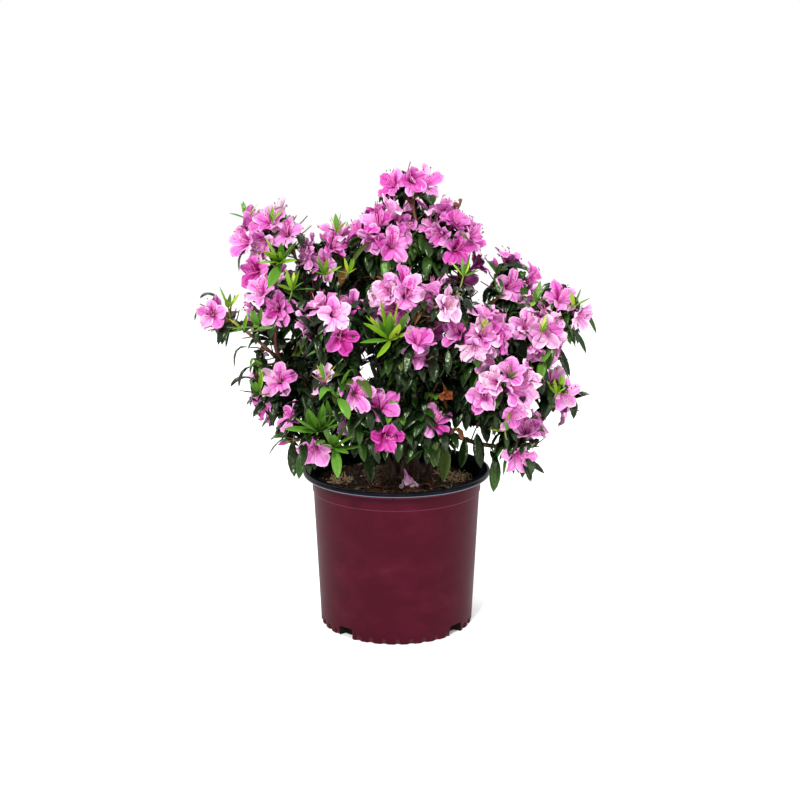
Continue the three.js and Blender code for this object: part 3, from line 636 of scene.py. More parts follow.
# Dark old leaves, their lighter neighbours, a few that turn brown, and fresh shoots.
LEAF_PAINTS = [
    ("leaf_deep", (0.0025, 0.0075, 0.002), 0.28),
    ("leaf_dark", (0.006, 0.020, 0.003), 0.28),
    ("leaf_mid", (0.017, 0.052, 0.005), 0.3),
    ("leaf_olive", (0.050, 0.080, 0.010), 0.42),
    ("leaf_brown", (0.110, 0.038, 0.012), 0.5),
    ("leaf_green", (0.085, 0.215, 0.020), 0.36),
    ("leaf_fresh", (0.190, 0.370, 0.016), 0.4),
    ("leaf_lime", (0.360, 0.480, 0.040), 0.45),
]
LEAF_DEEP, LEAF_DARK, LEAF_MID, LEAF_OLIVE, LEAF_BROWN, LEAF_GREEN, LEAF_FRESH, LEAF_LIME = range(8)
YOUNG = {"width": (0.2, 0.3), "tones": (LEAF_FRESH, LEAF_GREEN, LEAF_FRESH, LEAF_GREEN, LEAF_LIME)}
OLDER = {"width": (0.28, 0.37), "tones": (LEAF_GREEN, LEAF_GREEN, LEAF_FRESH, LEAF_MID, LEAF_GREEN)}


def leaf_material(name, colour, roughness):
    """A leathery blade, quilted between its veins, with a green gloss."""
    material, surface = shader(name, colour, roughness, 0.4, (0.8, 1, 0.6))
    place = material.node_tree.nodes.new("ShaderNodeTexCoord")
    quilt = add_node(material, "ShaderNodeTexVoronoi", Scale=210)
    material.node_tree.links.new(place.outputs["Object"], quilt.inputs["Vector"])
    roughen(material, surface, noise(material, 300), roughness - 0.08, roughness + 0.1)
    emboss(material, surface, quilt.outputs["Distance"], 0.45)
    return material


def weathered(name, colour, roughness, specular, wander, stops, gloss, relief, depth):
    """A material whose colour and gloss follow one noise, and its relief the same noise or a finer one."""
    material, surface = shader(name, colour, roughness, specular)
    value = noise(material, *wander)
    paint(material, surface, value, stops)
    roughen(material, surface, value, *gloss)
    emboss(material, surface, noise(material, *relief) if relief else value, depth)
    return material


def bark_material():
    stops = [(0.3, (0.011, 0.006, 0.004)), (0.52, (0.048, 0.026, 0.016)), (0.78, (0.160, 0.100, 0.065))]
    colour, streaks = (0.15, 0.09, 0.055), (260, 6, (1, 1, 0.25))
    return weathered("bark", colour, 0.85, 0.3, streaks, stops, (0.75, 0.95), None, 0.8)


def pot_material():
    """Wine-red moulded plastic with a soft sheen, faint swirled scuffs and a little dust."""
    wine, swirls = (0.046, 0.0030, 0.0095), (22, 8, (1, 1, 1.6))
    stops = [(0.45, wine), (0.62, (0.056, 0.0042, 0.0125)), (0.72, (0.068, 0.0065, 0.0165))]
    return weathered("pot_plastic", wine, 0.4, 0.05, swirls, stops, (0.36, 0.56), (600, 3), 0.06)


def lip_material():
    """Blue-black moulded plastic, rubbed to a duller grey here and there."""
    black = (0.0016, 0.0024, 0.0048)
    stops = [(0.45, black), (0.75, (0.005, 0.007, 0.012))]
    return weathered("lip_plastic", black, 0.3, 0.05, (60, 6), stops, (0.22, 0.45), (700, 3), 0.05)


def soil_material():
    stops = [(0.35, (0.010, 0.007, 0.005)), (0.55, (0.045, 0.026, 0.016)), (0.72, (0.16, 0.10, 0.055))]
    return weathered("compost", (0.05, 0.03, 0.02), 0.95, 0.2, (240, 8), stops, (0.9, 1.0), None, 2.5)


# The pot and its soil

def turned(profile, wobble=None):
    """A closed ring of the profile's [radius, height] points about the pot's axis."""
    turns = full_turn(POT_STEPS)
    radius, height = (np.repeat(np.array(part, float)[:, None], POT_STEPS, axis=1) for part in zip(*profile))
    if wobble:
        radius = wobble(radius, height, turns[None, :])
    return about_axis(radius, turns, height).reshape(-1, 3), grid_quads(len(profile), POT_STEPS, closed=True)


def rounded(points, steps=4, size=0.3):
    """A profile with each inner corner cut round, over a share of its shorter side."""
    points = np.array(points, float)
    out = [points[0]]
    for before, corner, after in zip(points, points[1:], points[2:]):
        reach = size * min(np.linalg.norm(before - corner), np.linalg.norm(after - corner))
        start = corner + unit(before - corner) * reach
        end = corner + unit(after - corner) * reach
        for t in np.linspace(0, 1, steps):
            out.append((1 - t) ** 2 * start + 2 * t * (1 - t) * corner + t**2 * end)
    return [*out, points[-1]]


def near_spoke(turns, spokes, soft):
    """1 near the closest of the evenly spread spokes at the pot's foot, and 0 away from them."""
    pitch = 2 * np.pi / spokes["count"]
    away = np.abs((turns - math.radians(spokes["first"]) + pitch / 2) % pitch - pitch / 2) * BASE_RADIUS
    return 1 - ease(spokes["width"] / 2 - soft, spokes["width"] / 2 + soft, away)


def foot_cuts(height, turns):
    """How deep the drain notches and the short flutes cut into the pot's lower edge."""
    notch = near_spoke(turns, NOTCH, 0.6)
    arch = NOTCH["height"] * (1 - 0.35 * (1 - notch))
    notch = notch * (1 - ease(arch - 0.8, arch + 0.2, height)) * NOTCH["depth"]
    flute = near_spoke(turns, FLUTES, 2.4)
    flute = flute * (1 - ease(FLUTES["height"] - 5, FLUTES["height"], height)) * FLUTES["depth"]
    return notch, flute


def cut_foot(radius, height, turns):
    notch, flute = foot_cuts(height, turns)
    edge = BASE_RADIUS + POT_TAPER * height - np.maximum(notch, flute)
    return np.where(height < FOOT_RING_TOP - 1, np.minimum(radius, edge), radius)


def make_pot():
    low_heights = [0, 0.6, 2, 4, 6, 7.5, 9, 10.5, 12, 13.4, 14.2, 14.9, 15.6, 17, 24]
    outside = [(BASE_RADIUS + POT_TAPER * z, z) for z in [*low_heights, 40, 80, 120, 160, 196]]
    collar = rounded([
        (BODY_TOP_RADIUS - 0.2, COLLAR_BOTTOM - 4), (BODY_TOP_RADIUS, COLLAR_BOTTOM),
        (COLLAR_RADIUS, COLLAR_BOTTOM + 0.8), (COLLAR_RADIUS, COLLAR_BOTTOM + 18),
        (COLLAR_RADIUS + 0.9, COLLAR_BOTTOM + 18.8), (COLLAR_RADIUS + 0.9, COLLAR_BOTTOM + 20),
        (COLLAR_RADIUS, COLLAR_BOTTOM + 21), (COLLAR_RADIUS, RIM_SEAT - GAP),
    ])
    inner = BODY_TOP_RADIUS - POT_WALL
    inside = [
        (inner, RIM_SEAT - GAP), (inner, COLLAR_BOTTOM),
        (BASE_RADIUS - POT_WALL, FOOT_RING_TOP), (FOOT_RADIUS, FOOT_RING_TOP), (FOOT_RADIUS - 2, 2.5),
        (0.5, 2.5), (0.5, 0), (BASE_RADIUS - 16, 0), (BASE_RADIUS - 8, 0), (BASE_RADIUS - 0.8, 0),
        (BASE_RADIUS, 0),
    ]
    profile = [*outside, *collar, *inside]
    points, quads = turned(profile, cut_foot)
    tones = pot_tones(profile, len(outside) + len(collar))
    make_piece("pot_tub", points, quads, [pot_material(), *plain(POT_PAINTS)], ["pot_wall"], tones)
    make_seam()


def pot_tones(profile, outer_rows):
    """Which of the pot's materials each of its quads has: row by row up the profile, and round the pot."""
    heights = np.array([z for _, z in profile])
    middle = ((heights[:-1] + heights[1:]) / 2)[:, None]
    turns = (full_turn(POT_STEPS) + np.pi / POT_STEPS)[None, :]
    outer = (np.arange(len(profile) - 1) < outer_rows - 1)[:, None]
    # Painted highlight: the faces along the collar's edges take a paler colour.
    edge = np.any([np.abs(middle - COLLAR_BOTTOM - at) < half for at, half in HIGHLIGHT_BANDS], axis=0)
    notch, flute = foot_cuts(middle, turns)
    tones = np.where(outer, np.where(edge, POT_HIGHLIGHT, POT_WINE), POT_INSIDE) * np.ones((1, POT_STEPS), int)
    # The flutes' faces take a paler, browner tone.
    tones = np.where(outer & (flute > 0.7 * FLUTES["depth"]), POT_FLUTE_BROWN, tones)
    # Painted shade: the faces cut in by the drain notches are near black.
    return np.where(outer & (notch > 1), POT_NOTCH_SHADE, tones).ravel()


def make_seam():
    """The short dark slit in the front of the collar, where the mould's halves meet."""
    heights = np.linspace(RIM_BOTTOM - 8, RIM_BOTTOM - 1, 5)
    centres = about_axis(COLLAR_RADIUS + 0.4, SEAM_TURN, heights)
    points, quads = tube(centres, [0.5, 1.0, 1.1, 1.0, 0.5], 8)
    make_piece("collar_seam", points, quads, [lip_material()])


def make_lip():
    """A lip rolled outward, with a painted highlight line along its lower outer edge."""
    inner = BODY_TOP_RADIUS - POT_WALL
    profile = rounded([
        (inner, RIM_SEAT), (inner + 1.5, RIM_SEAT + 1.5), (inner + 6, POT_HEIGHT - 2.2),
        (RIM_RADIUS - 6, POT_HEIGHT - 0.8), (RIM_RADIUS - 3, POT_HEIGHT),
        (RIM_RADIUS - 0.6, POT_HEIGHT - 0.8), (RIM_RADIUS, POT_HEIGHT - 3),
        (RIM_RADIUS - 0.5, RIM_BOTTOM + 1), (RIM_RADIUS - 1.6, RIM_BOTTOM),
        (RIM_RADIUS - 2.5, RIM_BOTTOM + 0.8), (RIM_RADIUS - 3, RIM_SEAT), (inner, RIM_SEAT),
    ], 5, 0.42)
    points, quads = turned(profile)
    radius, height = ((np.array(profile[:-1]) + np.array(profile[1:])) / 2).T
    # Painted highlight: a thin ring of faces along the lip's lower outer edge.
    highlight_ring = (radius > RIM_RADIUS - 1.2) & (height > RIM_BOTTOM + 0.2) & (height < RIM_BOTTOM + 2)
    rows = np.where(radius < RIM_RADIUS - 4, LIP_SHADE, np.where(highlight_ring, LIP_HIGHLIGHT, LIP_BLACK))
    paints = [lip_material(), *plain(LIP_PAINTS)]
    make_piece("pot_lip", points, quads, paints, ["pot_rim"], np.repeat(rows, POT_STEPS))


def soil_height(x, y):
    """The lumpy top of the soil, mounded a little round the trunk."""
    lumps = 1.3 * np.sin(x * 0.11 + 1.7) * np.cos(y * 0.13) + 0.8 * np.sin(x * 0.31) * np.sin(y * 0.27 + 2)
    fine = 0.5 * np.sin(x * 0.9 + y * 0.4) * np.cos(y * 0.8 - x * 0.3)
    mound = 4 * np.exp(-((x - 20) ** 2 + (y - 8) ** 2) / 2200)
    return SOIL_TOP - 1 + lumps + fine + mound


def make_soil():
    """The lumpy top, and the sides and underside, which keep clear of the pot."""
    slack = POT_WALL + 0.4
    edge = BODY_TOP_RADIUS - slack
    rings = np.linspace(0.5, edge, SOIL_RINGS)
    turns = full_turn(SOIL_STEPS)
    x = rings[:, None] * np.cos(turns)
    y = rings[:, None] * np.sin(turns)
    shelf = FOOT_RING_TOP + 0.4
    sides = [(edge, COLLAR_BOTTOM), (BASE_RADIUS - slack, shelf), (FOOT_RADIUS - 0.4, shelf),
             (FOOT_RADIUS - 2.4, 2.9), (0.5, 2.9)]
    top = np.stack([x, y, soil_height(x, y)], axis=-1)
    points = np.concatenate([top, [about_axis(radius, turns, z) for radius, z in sides]]).reshape(-1, 3)
    quads = grid_quads(len(rings) + len(sides), SOIL_STEPS, closed=True)
    make_piece("potting_mix", points, quads[:, ::-1], [soil_material()], ["soil"])
    make_chips()


def box_points(centre, way, sizes, twist):
    """The corners of a small tapered block, lying along a way."""
    level, up = across(way)
    side = level * math.cos(twist) + up * math.sin(twist)
    rise = up * math.cos(twist) - level * math.sin(twist)
    length, width, height = (size / 2 for size in sizes)
    corners = []
    for along, taper in ((-1, 1.0), (1, 0.55)):
        for a, b in ((-1, -1), (1, -1), (1, 1), (-1, 1)):
            corner = centre + way * along * length + side * a * taper * width
            corners.append(corner + rise * b * taper * height)
    return np.array(corners)


def make_chips():
    """Bark chips all over the soil, and pale fibres that gather in two patches."""
    roll = dice(SEEDS["chips"])
    chips = Pile()
    for i in range(CHIPS["count"]):
        radius, turn = CHIPS["spread"] * math.sqrt(roll()), 2 * math.pi * roll()
        x, y = radius * math.cos(turn), radius * math.sin(turn)
        kind = FIBRES if i < FIBRES["count"] else CHIPS
        if kind is FIBRES:
            patch_x, patch_y, size = FIBRE_PATCHES[i % len(FIBRE_PATCHES)]
            x = patch_x + size * (roll() + roll() - 1)
            y = patch_y + size * (roll() + roll() - 1)
            if math.hypot(x, y) > FIBRES["spread"]:
                continue
        tanned = roll() < kind["tan"]
        length = between(*kind["length"], roll() ** 2)
        way = unit([roll() - 0.5, roll() - 0.5, 0.5 * (roll() - 0.4)])
        sizes = (length, between(0.8, 3.2, roll()) * (0.45 if tanned else 1), between(0.6, 1.3, roll()))
        centre = np.array([x, y, float(soil_height(x, y)) + between(0, 1.6, roll())])
        tone = CHIP_TAN if tanned else int(roll() < 0.4)
        chips.add(box_points(centre, way, sizes, roll() * 3), BOX_QUADS, tone)
    chips.pieces("bark_chips", "soil", plain(CHIP_PAINTS))


# The trunk, stems and boughs

def ridges(rings, sides, roll, depth):
    """Long shallow ridges that wander round a limb, as shares of its radius."""
    turns = full_turn(sides)[None, :]
    along = np.linspace(0, 1, rings)[:, None]
    relief = np.zeros((rings, sides))
    for count in (2, 3, 5, 7):
        wander = 1.3 * np.sin(2 * np.pi * (along * (0.7 + roll()) + roll()))
        relief += np.sin(count * turns + wander + 2 * np.pi * roll()) / count**0.5
    knots = np.sin(2 * np.pi * (along * (6 + 3 * roll()) + roll())) ** 8
    return 1 + depth * (relief / 2 + 0.8 * knots)


def grow_limbs():
    foot = np.array([*TRUNK["foot"], SOIL_TOP + 0.3])
    tip = np.array(TRUNK["tip"], float)
    trunk = Curve(foot, np.array([foot[0], foot[1], (foot[2] + tip[2]) / 2]), tip)
    limbs = {"trunk": (trunk, TRUNK["radius"], TRUNK["tip_radius"])}
    for name, parent, place, end, radius, tip_radius in LIMBS:
        start = limbs[parent][0].at(place)
        far = np.array(end, float)
        middle = (start + far) / 2 - UP * LIMB_SAG * np.linalg.norm(far - start)
        limbs[name] = (Curve(start, middle, far), radius, tip_radius)
    return limbs


def add_limb(wood, curve, radii, sides, roll, relief, flare=0):
    """A limb with its bark, which can be flared and buttressed at its foot."""
    rings = max(10, int(curve.length / 3))
    along = np.linspace(0, 1, rings)
    radii = between(*radii, along)[:, None] * ridges(rings, sides, roll, relief)
    ribs = 1 + FLARE["ribs"] * np.cos(FLARE["buttresses"] * full_turn(sides))
    radii = radii * (1 + flare * np.exp(-along * FLARE["fade"])[:, None] * ribs)
    wood.add(*tube(curve.at(along), radii, sides))


def make_wood(limbs):
    """Every limb, rooted in its parent, and the thinner stems beside the trunk."""
    wood = Pile()
    roll = dice(SEEDS["bark"])
    for name, (curve, radius, tip_radius) in limbs.items():
        sides, flare = (20, FLARE["size"]) if name == "trunk" else (12, 0)
        add_limb(wood, curve, (radius, tip_radius), sides, roll, BARK_RELIEF["limb"], flare)
    for (x, y), limb, place, radius in BASAL_STEMS:
        foot = np.array([x, y, SOIL_TOP - 4])
        end = limbs[limb][0].at(place)
        curve = Curve(foot, np.array([x * 1.1, y * 1.1, (foot[2] + end[2]) / 2]), end)
        add_limb(wood, curve, (radius, 0.6 * radius), 10, roll, BARK_RELIEF["basal"])
    wood.pieces("trunk_and_boughs", "bark", [bark_material()], list(limbs))


# The rule by which a mass grows

def outlook(centre):
    """The way that a mass looks out of the crown."""
    out = centre - CROWN_HEART
    out[1] += math.copysign(FACE_BIAS, out[1])
    out[2] *= LIFT_SHARE
    return unit(out)


def plan_mass(row, limbs, seed):
    """The stem and shoots of one mass as curves."""
    name, limb, place, middle, reach, blooms, more, tone, turn = row
    roll = dice(seed)
    centre = np.array(middle, float)
    out = outlook(centre)
    bough = limbs[limb][0]
    stem = leaving(bough.at(place), bough.way(place), centre - out * STEM_DEPTH * reach, STEM_BEND)
    spread = reach - BLOOM_RADIUS
    ring = blooms - 1 if blooms > 3 else blooms
    bare = 2 if blooms < 3 else 1
    shoots = []

    def add_shoot(offset, way, look, kind):
        slip = len(shoots) + SHOOT_SHIFT * roll()
        foot = stem.at(SHOOT_START - SHOOT_ZONE * slip / (blooms + bare))
        facing = unit(out * look[0] + way * look[1])
        end = centre + offset - facing * (0 if kind == "bare" else BLOOM_TUBE)
        curves = [arriving(foot, end + out * step, facing, SHOOT_BEND) for step in SHOOT_STEPS]
        shoots.append({"kind": kind, "facing": facing, "curves": curves})

    def stray():
        return JITTER * (2 * roll() - 1)

    for i in range(blooms):
        way = spoke(out, math.radians(turn + 360 * i / ring + stray()))
        wide = LONE_SPREAD if blooms == 1 else 1
        if i < ring:
            add_shoot(way * spread * wide, way, RING_LOOK, "ring")
        else:
            add_shoot(out * spread * MIDDLE_LIFT, way, MIDDLE_LOOK, "middle")
    for i in range(bare):
        way = spoke(out, math.radians(turn + BARE_TURN + 360 * i / bare + stray()))
        add_shoot(way * spread * BARE_SPREAD - out * BARE_DEPTH * reach, way, BARE_LOOK, "bare")
    return {"centre": centre, "reach": reach, "more": more, "tone": tone, "out": out, "roll": roll,
            "stem": stem, "shoots": shoots, "grown": []}


class Room:
    """What stands already. What grows later keeps clear of it, of the pot and of the crown's edge."""

    def __init__(self, limbs):
        samples = np.linspace(0.05, 1, 12)
        self.wood = np.concatenate([curve.at(samples) for curve, _, _ in limbs.values()])
        self.wood_radius = np.concatenate([between(r, tip, samples) for _, r, tip in limbs.values()])
        self.hearts = np.zeros((0, 3))
        self.facings = np.zeros((0, 3))
        self.low = np.array(cad_low) / MM - PAST_BOX["low"]
        self.high = np.array(cad_high) / MM + PAST_BOX["high"]

    def add_bloom(self, heart, facing):
        self.hearts = np.vstack([self.hearts, heart])
        self.facings = np.vstack([self.facings, facing])

    def blooms_clear(self, places, room):
        if not len(self.hearts):
            return True
        return np.linalg.norm(places[:, None] - self.hearts, axis=-1).min() > room

    def opens(self, heart):
        """Whether a bloom can open here, clear of those before it and below the crown's top."""
        return self.blooms_clear(heart[None], BLOOM_ROOM) and heart[2] < self.high[2] - BLOOM_MARGIN

    def takes_more(self, heart):
        """Whether a further bloom fits: inside the crown, clear of what stands, and out of the sky."""
        inside = (heart > self.low + BLOOM_MARGIN).all() and (heart < self.high - BLOOM_MARGIN).all()
        free = self.blooms_clear(heart[None], TRUSS_ROOM) and self.is_clear(heart[None])
        return inside and free and not self.shows_sky(heart[None], SKY_ROOM["bloom"])

    def hides_bloom(self, places):
        """Whether any place stands in front of a bloom's face."""
        away = places[:, None] - self.hearts
        ahead = (away * self.facings).sum(axis=-1)
        aside = np.linalg.norm(away - ahead[..., None] * self.facings, axis=-1)
        return ((ahead > -2) & (ahead < OUTLOOK["depth"]) & (aside < OUTLOOK["width"])).any()

    def shows_sky(self, places, room):
        """Whether any place covers a window to the sky, as the camera sees it."""
        camera = np.array(CAMERA_PLACE, float)
        ways = places - camera
        seen = camera - ways * camera[1] / ways[:, 1:2]
        away = np.hypot(seen[:, :1] - SKY[:, 0], seen[:, 2:] - SKY[:, 1])
        return (away < SKY[:, 2] + room).any()

    def is_past_edge(self, places, slack):
        return (places < self.low - slack).any() or (places > self.high + slack).any()

    def is_clear(self, places):
        """Whether all places are clear of the pot, the wood and the crown's edge."""
        radius, height = np.hypot(places[:, 0], places[:, 1]), places[:, 2]
        low = height < POT_HEIGHT + CLEARANCE["over_lip"]
        in_pot = (radius < BODY_TOP_RADIUS - CLEARANCE["inside"]) & (height > SOIL_TOP + CLEARANCE["soil"])
        if (low & ~in_pot & (radius < RIM_RADIUS + CLEARANCE["lip"])).any():
            return False
        if self.is_past_edge(places, 0):
            return False
        gap = np.linalg.norm(places[:, None] - self.wood, axis=-1) - self.wood_radius
        return gap.min() > CLEARANCE["wood"]


# Leaves

LEAF_ROWS = np.array([0, 0.08, 0.24, 0.44, 0.64, 0.84, 1.0])
LEAF_COLUMNS = np.array([-1, -0.5, 0, 0.5, 1])
LEAF_LIFT = 0.3
SPRAY_TONES = ((0.44, LEAF_DEEP), (0.76, LEAF_DARK), (0.92, LEAF_MID), (0.96, LEAF_OLIVE), (1, LEAF_GREEN))
LEAF_QUADS = grid_quads(len(LEAF_ROWS), len(LEAF_COLUMNS))


def leaf_points(root, way, length, width, droop, fold, twist):
    """A leaf that arches down from its root, grooved along its middle, with its edges turned under."""
    steps = np.diff(LEAF_ROWS, prepend=0) * length
    bend = droop * LEAF_ROWS[:, None] ** 1.3
    ways = way * (1 - 0.5 * bend) + UP * (LEAF_LIFT - bend)
    ways /= np.linalg.norm(ways, axis=1, keepdims=True)
    spine = root + np.cumsum(ways * steps[:, None], axis=0)
    side = spoke(way, twist)
    sides = side - ways * (ways @ side)[:, None]
    sides /= np.linalg.norm(sides, axis=1, keepdims=True)
    faces = np.cross(sides, ways)
    faces *= np.sign(faces[:, 2:].sum()) or 1
    half = width / 2 * np.sin(np.pi * np.clip(LEAF_ROWS, 0.03, 0.985) ** 0.94) ** 0.66
    half[0] = 0.5
    half[-1] = 0.4
    u = LEAF_COLUMNS[None, :, None]
    lift = fold * (0.5 - np.abs(np.abs(u) - 0.5) * 1.7) - 0.3 * fold
    wide = half[:, None, None]
    return (spine[:, None] + sides[:, None] * u * wide + faces[:, None] * lift * wide).reshape(-1, 3)


class Foliage:
    """Gathers the leaves, each where it is clear of the limbs, the blooms and the pot."""

    def __init__(self, room):
        self.room = room
        self.pile = Pile()

    def fits(self, mass, spine):
        """Whether a leaf with this spine belongs to the mass and is clear of everything."""
        room = self.room
        if np.linalg.norm(spine[-1] - mass["centre"]) > REACH_OF_LEAVES * mass["reach"]:
            return False
        if spine[:, 2].max() > room.high[2] - LEAF_TOP_MARGIN or not room.is_clear(spine):
            return False
        if not room.blooms_clear(spine[1:], LEAF_ROOM) or room.hides_bloom(spine):
            return False
        return not room.shows_sky(spine, SKY_ROOM["leaf"])

    def leaf(self, mass, root, way, length, tone):
        roll = mass["roll"]
        width = length * between(*WHORL["width"], roll())
        droop = between(*LEAF["droop"], roll())
        points = leaf_points(root, way, length, width, droop, LEAF["fold"], between(*LEAF["twist"], roll()))
        if self.fits(mass, points[2::len(LEAF_COLUMNS)][2:]):
            self.pile.add(points, LEAF_QUADS, tone)

    def whorl(self, mass, tip, axis, leaves, size=1.0):
        """A spray of leaves round a twig's tip. They share a tone, save the odd one that has turned."""
        roll = mass["roll"]
        tone = spray_tone(roll)
        start = 2 * math.pi * roll()
        for i in range(leaves):
            angle = start + 2 * math.pi * (i + 0.4 * roll()) / leaves
            way = opened(axis, angle, math.radians(between(*WHORL["angle"], roll())))
            root = tip - axis * between(0, 9, roll())
            one_tone = LEAF_BROWN if roll() < LEAF["brown"] else tone
            self.leaf(mass, root, way, between(*WHORL["length"], roll()) * size, one_tone)


def spray_tone(roll):
    """Most sprays are dark, and a few are lighter or have begun to turn."""
    draw = roll()
    return next(tone for limit, tone in SPRAY_TONES if draw < limit)


# Blooms

PETALS = 5
INNER_PETALS = 4
DOUBLE_SHARE = 0.3
STAMENS = 6
PETAL_ROWS = np.linspace(0, 1, 12)
PETAL_COLUMNS = np.array([-1, -0.78, -0.5, -0.24, -0.08, 0.08, 0.24, 0.5, 0.78, 1])
PETAL_QUADS = grid_quads(len(PETAL_ROWS), len(PETAL_COLUMNS))
PETAL_LENGTH = 41
PETAL_WIDTH = 20.5
TUBE_SHARE = 0.42
TUBE_LEAN = 0.14
FLARE_ANGLE = (30, 72)
RECURVE_ANGLE = (0, 52)
RIPPLE = {"height": (1.4, 3.4), "waves": (2.0, 3.4)}
CUP = (-2.5, 4.5)
SWING = (-3.6, 3.6)
FACE_ROW = (PETAL_ROWS[:-1] + PETAL_ROWS[1:]) / 2
FACE_COLUMN = (PETAL_COLUMNS[:-1] + PETAL_COLUMNS[1:]) / 2


def petal_points(angle, opening, size, roll):
    """One petal in the bloom's own axes: fused in a tube at first, and then a ruffled lobe that flares."""
    s = PETAL_ROWS
    flare = math.radians(between(*FLARE_ANGLE, opening) + between(-11, 11, roll()))
    recurve = math.radians(between(*RECURVE_ANGLE, roll()))
    lean = TUBE_LEAN + (flare - TUBE_LEAN) * ease(0.2, 0.75, s) + recurve * ease(0.66, 1.0, s)
    step = np.diff(s, prepend=0) * PETAL_LENGTH * size * between(0.92, 1.07, roll())
    radius = 1.6 + np.cumsum(np.sin(lean) * step)
    height = np.cumsum(np.cos(lean) * step)
    q = np.clip((s - TUBE_SHARE) / (1 - TUBE_SHARE), 0, 1)
    root_width = 0.73 * np.interp(TUBE_SHARE, s, radius)
    widest = PETAL_WIDTH / 2 * size * between(0.88, 1.1, roll())
    half = between(root_width, widest, np.sin(np.clip(q / 0.5, 0, 1) * np.pi / 2))
    half = np.where(q > 0.5, widest * np.sqrt(np.clip(1 - ((q - 0.5) / 0.5) ** 1.9, 0.015, 1)), half)
    u = PETAL_COLUMNS[None, :]
    free = ease(0.25, 0.52, s)[:, None]
    turn = angle + u * math.radians(36)
    tube_x = radius[:, None] * np.cos(turn)
    tube_y = radius[:, None] * np.sin(turn)
    lobe_x = radius[:, None] * math.cos(angle) - u * half[:, None] * math.sin(angle)
    lobe_y = radius[:, None] * math.sin(angle) + u * half[:, None] * math.cos(angle)
    ripple = between(*RIPPLE["height"], roll()) * size
    waves = np.sin(2 * np.pi * (between(*RIPPLE["waves"], roll()) * s[:, None] + roll() + 0.25 * np.sign(u)))
    cup = between(*CUP, roll()) * u**2
    crease = -1.6 * np.exp(-((u / 0.2) ** 2)) + 0.8 * np.exp(-(((np.abs(u) - 0.5) / 0.2) ** 2))
    swing = between(*SWING, roll()) * u
    lift = free * (ripple * np.abs(u) ** 1.4 * waves + cup + crease + swing) * ease(0.25, 0.7, s)[:, None]
    x = between(tube_x, lobe_x, free) - lift * np.cos(lean)[:, None] * math.cos(angle)
    y = between(tube_y, lobe_y, free) - lift * np.cos(lean)[:, None] * math.sin(angle)
    z = height[:, None] + lift * np.sin(lean)[:, None]
    return np.stack([x, y, z], axis=-1).reshape(-1, 3)


def petal_tones(base, blotched, roll):
    """Deepest in the throat, partly the flower's own colour and partly painted shade, deeper along the
    veins, and lightest at the rim, a painted highlight. Some petals are painted a step lighter or darker as
    the shading of their folds. One petal is blotched too.
    """
    if base >= WITHERED:
        return WITHERED
    # Painted shading of the folds: some petals a random step lighter or darker.
    fold_shading = (roll() < 0.25) - (roll() < 0.3)
    row = FACE_ROW[:, None]
    edge = np.abs(FACE_COLUMN)[None, :]
    vein = (edge < 0.05) * (row < 0.9)
    # Painted highlight: the rim and tip a step paler.
    pale = ((row > 0.88) | (edge > 0.85)) & (row > 0.4)
    streaked = np.array([roll() < 0.3 for _ in FACE_COLUMN], int)[None, :]
    streaks = streaked * (row < between(0.6, 0.95, roll()))
    # The steps deeper toward the throat are partly the flower's own colour and partly painted shade.
    tones = base + fold_shading - pale + vein + streaks + (row < 0.58) * (edge < 0.6) + (row < 0.36)
    if blotched:
        tones = tones + ((row < 0.8) & (edge < 0.3)) + ((row < 0.66) & (edge < 0.7))
    return np.clip(tones, PALEST, DEEPEST).ravel()


class Blossom:
    """Gathers the blooms: their petals, stamens and green calyx."""

    def __init__(self):
        self.petals = Pile()
        self.stamens = Pile()

    def bloom(self, foot, facing, roll, tone, size, opening):
        """An open flower on a shoot's tip. Its blotched petal is the one that points up."""
        side, rise = across(facing)
        axes = np.stack([side, rise, facing])
        spin = math.pi / 2 + math.radians(between(-14, 14, roll()))
        tone = tone + (roll() < 0.3) - (roll() < 0.3)
        for i in range(PETALS):
            points = petal_points(spin + 2 * math.pi * i / PETALS, opening, size, roll)
            self.petals.add(foot + points @ axes, PETAL_QUADS, petal_tones(tone, i == 0, roll))
        if roll() < DOUBLE_SHARE:
            for i in range(INNER_PETALS):
                points = petal_points(spin + 2 * math.pi * (i + 0.5) / INNER_PETALS, 0.1, size * 0.78, roll)
                points = foot + points @ axes + facing * 3
                self.petals.add(points, PETAL_QUADS, petal_tones(tone, False, roll))
        self.add_stamens(foot, axes, roll, size)
        cup_line = foot + facing * np.array([-3, 0, 3, 6])[:, None]
        self.stamens.add(*tube(cup_line, np.array([1.2, 2.1, 2.6, 1.7]) * size, 6), CALYX)

    def add_stamens(self, foot, axes, roll, size):
        """Long threads that leave the throat together and curve up, each with a dark anther."""
        for _ in range(STAMENS):
            swing = between(-0.4, 0.4, roll())
            end = np.array([swing * 20, between(0, 16, roll()), between(31, 38, roll())]) * size
            bend = np.array([swing * 6, -5, 24]) * size
            curve = Curve(foot + np.array([0, 0, 8]) @ axes, foot + bend @ axes, foot + end @ axes)
            thread = tube(curve.at(np.linspace(0, 1, 6)), np.linspace(0.42, 0.28, 6), 4)
            self.stamens.add(*thread, FILAMENT)
            knob_line = curve.at(1.0) + curve.way(1.0) * np.array([-0.5, 0, 0.9, 1.8])[:, None]
            self.stamens.add(*tube(knob_line, [0.25, 0.75, 0.7, 0.25], 4), ANTHER)

    def bud(self, tip, way, roll):
        """A pointed bud, deep pink over its green scales."""
        size = between(0.8, 1.2, roll())
        line = tip + way * (np.array([0, 3, 7, 12, 16, 19]) * size)[:, None]
        self.petals.add(*tube(line, np.array([1.2, 2.6, 3.4, 3.0, 1.8, 0.4]) * size, 8), BUD_PINK)
        self.stamens.add(*tube(line[:3], np.array([1.6, 3.0, 3.3]) * size, 8), CALYX)


# Growing everything

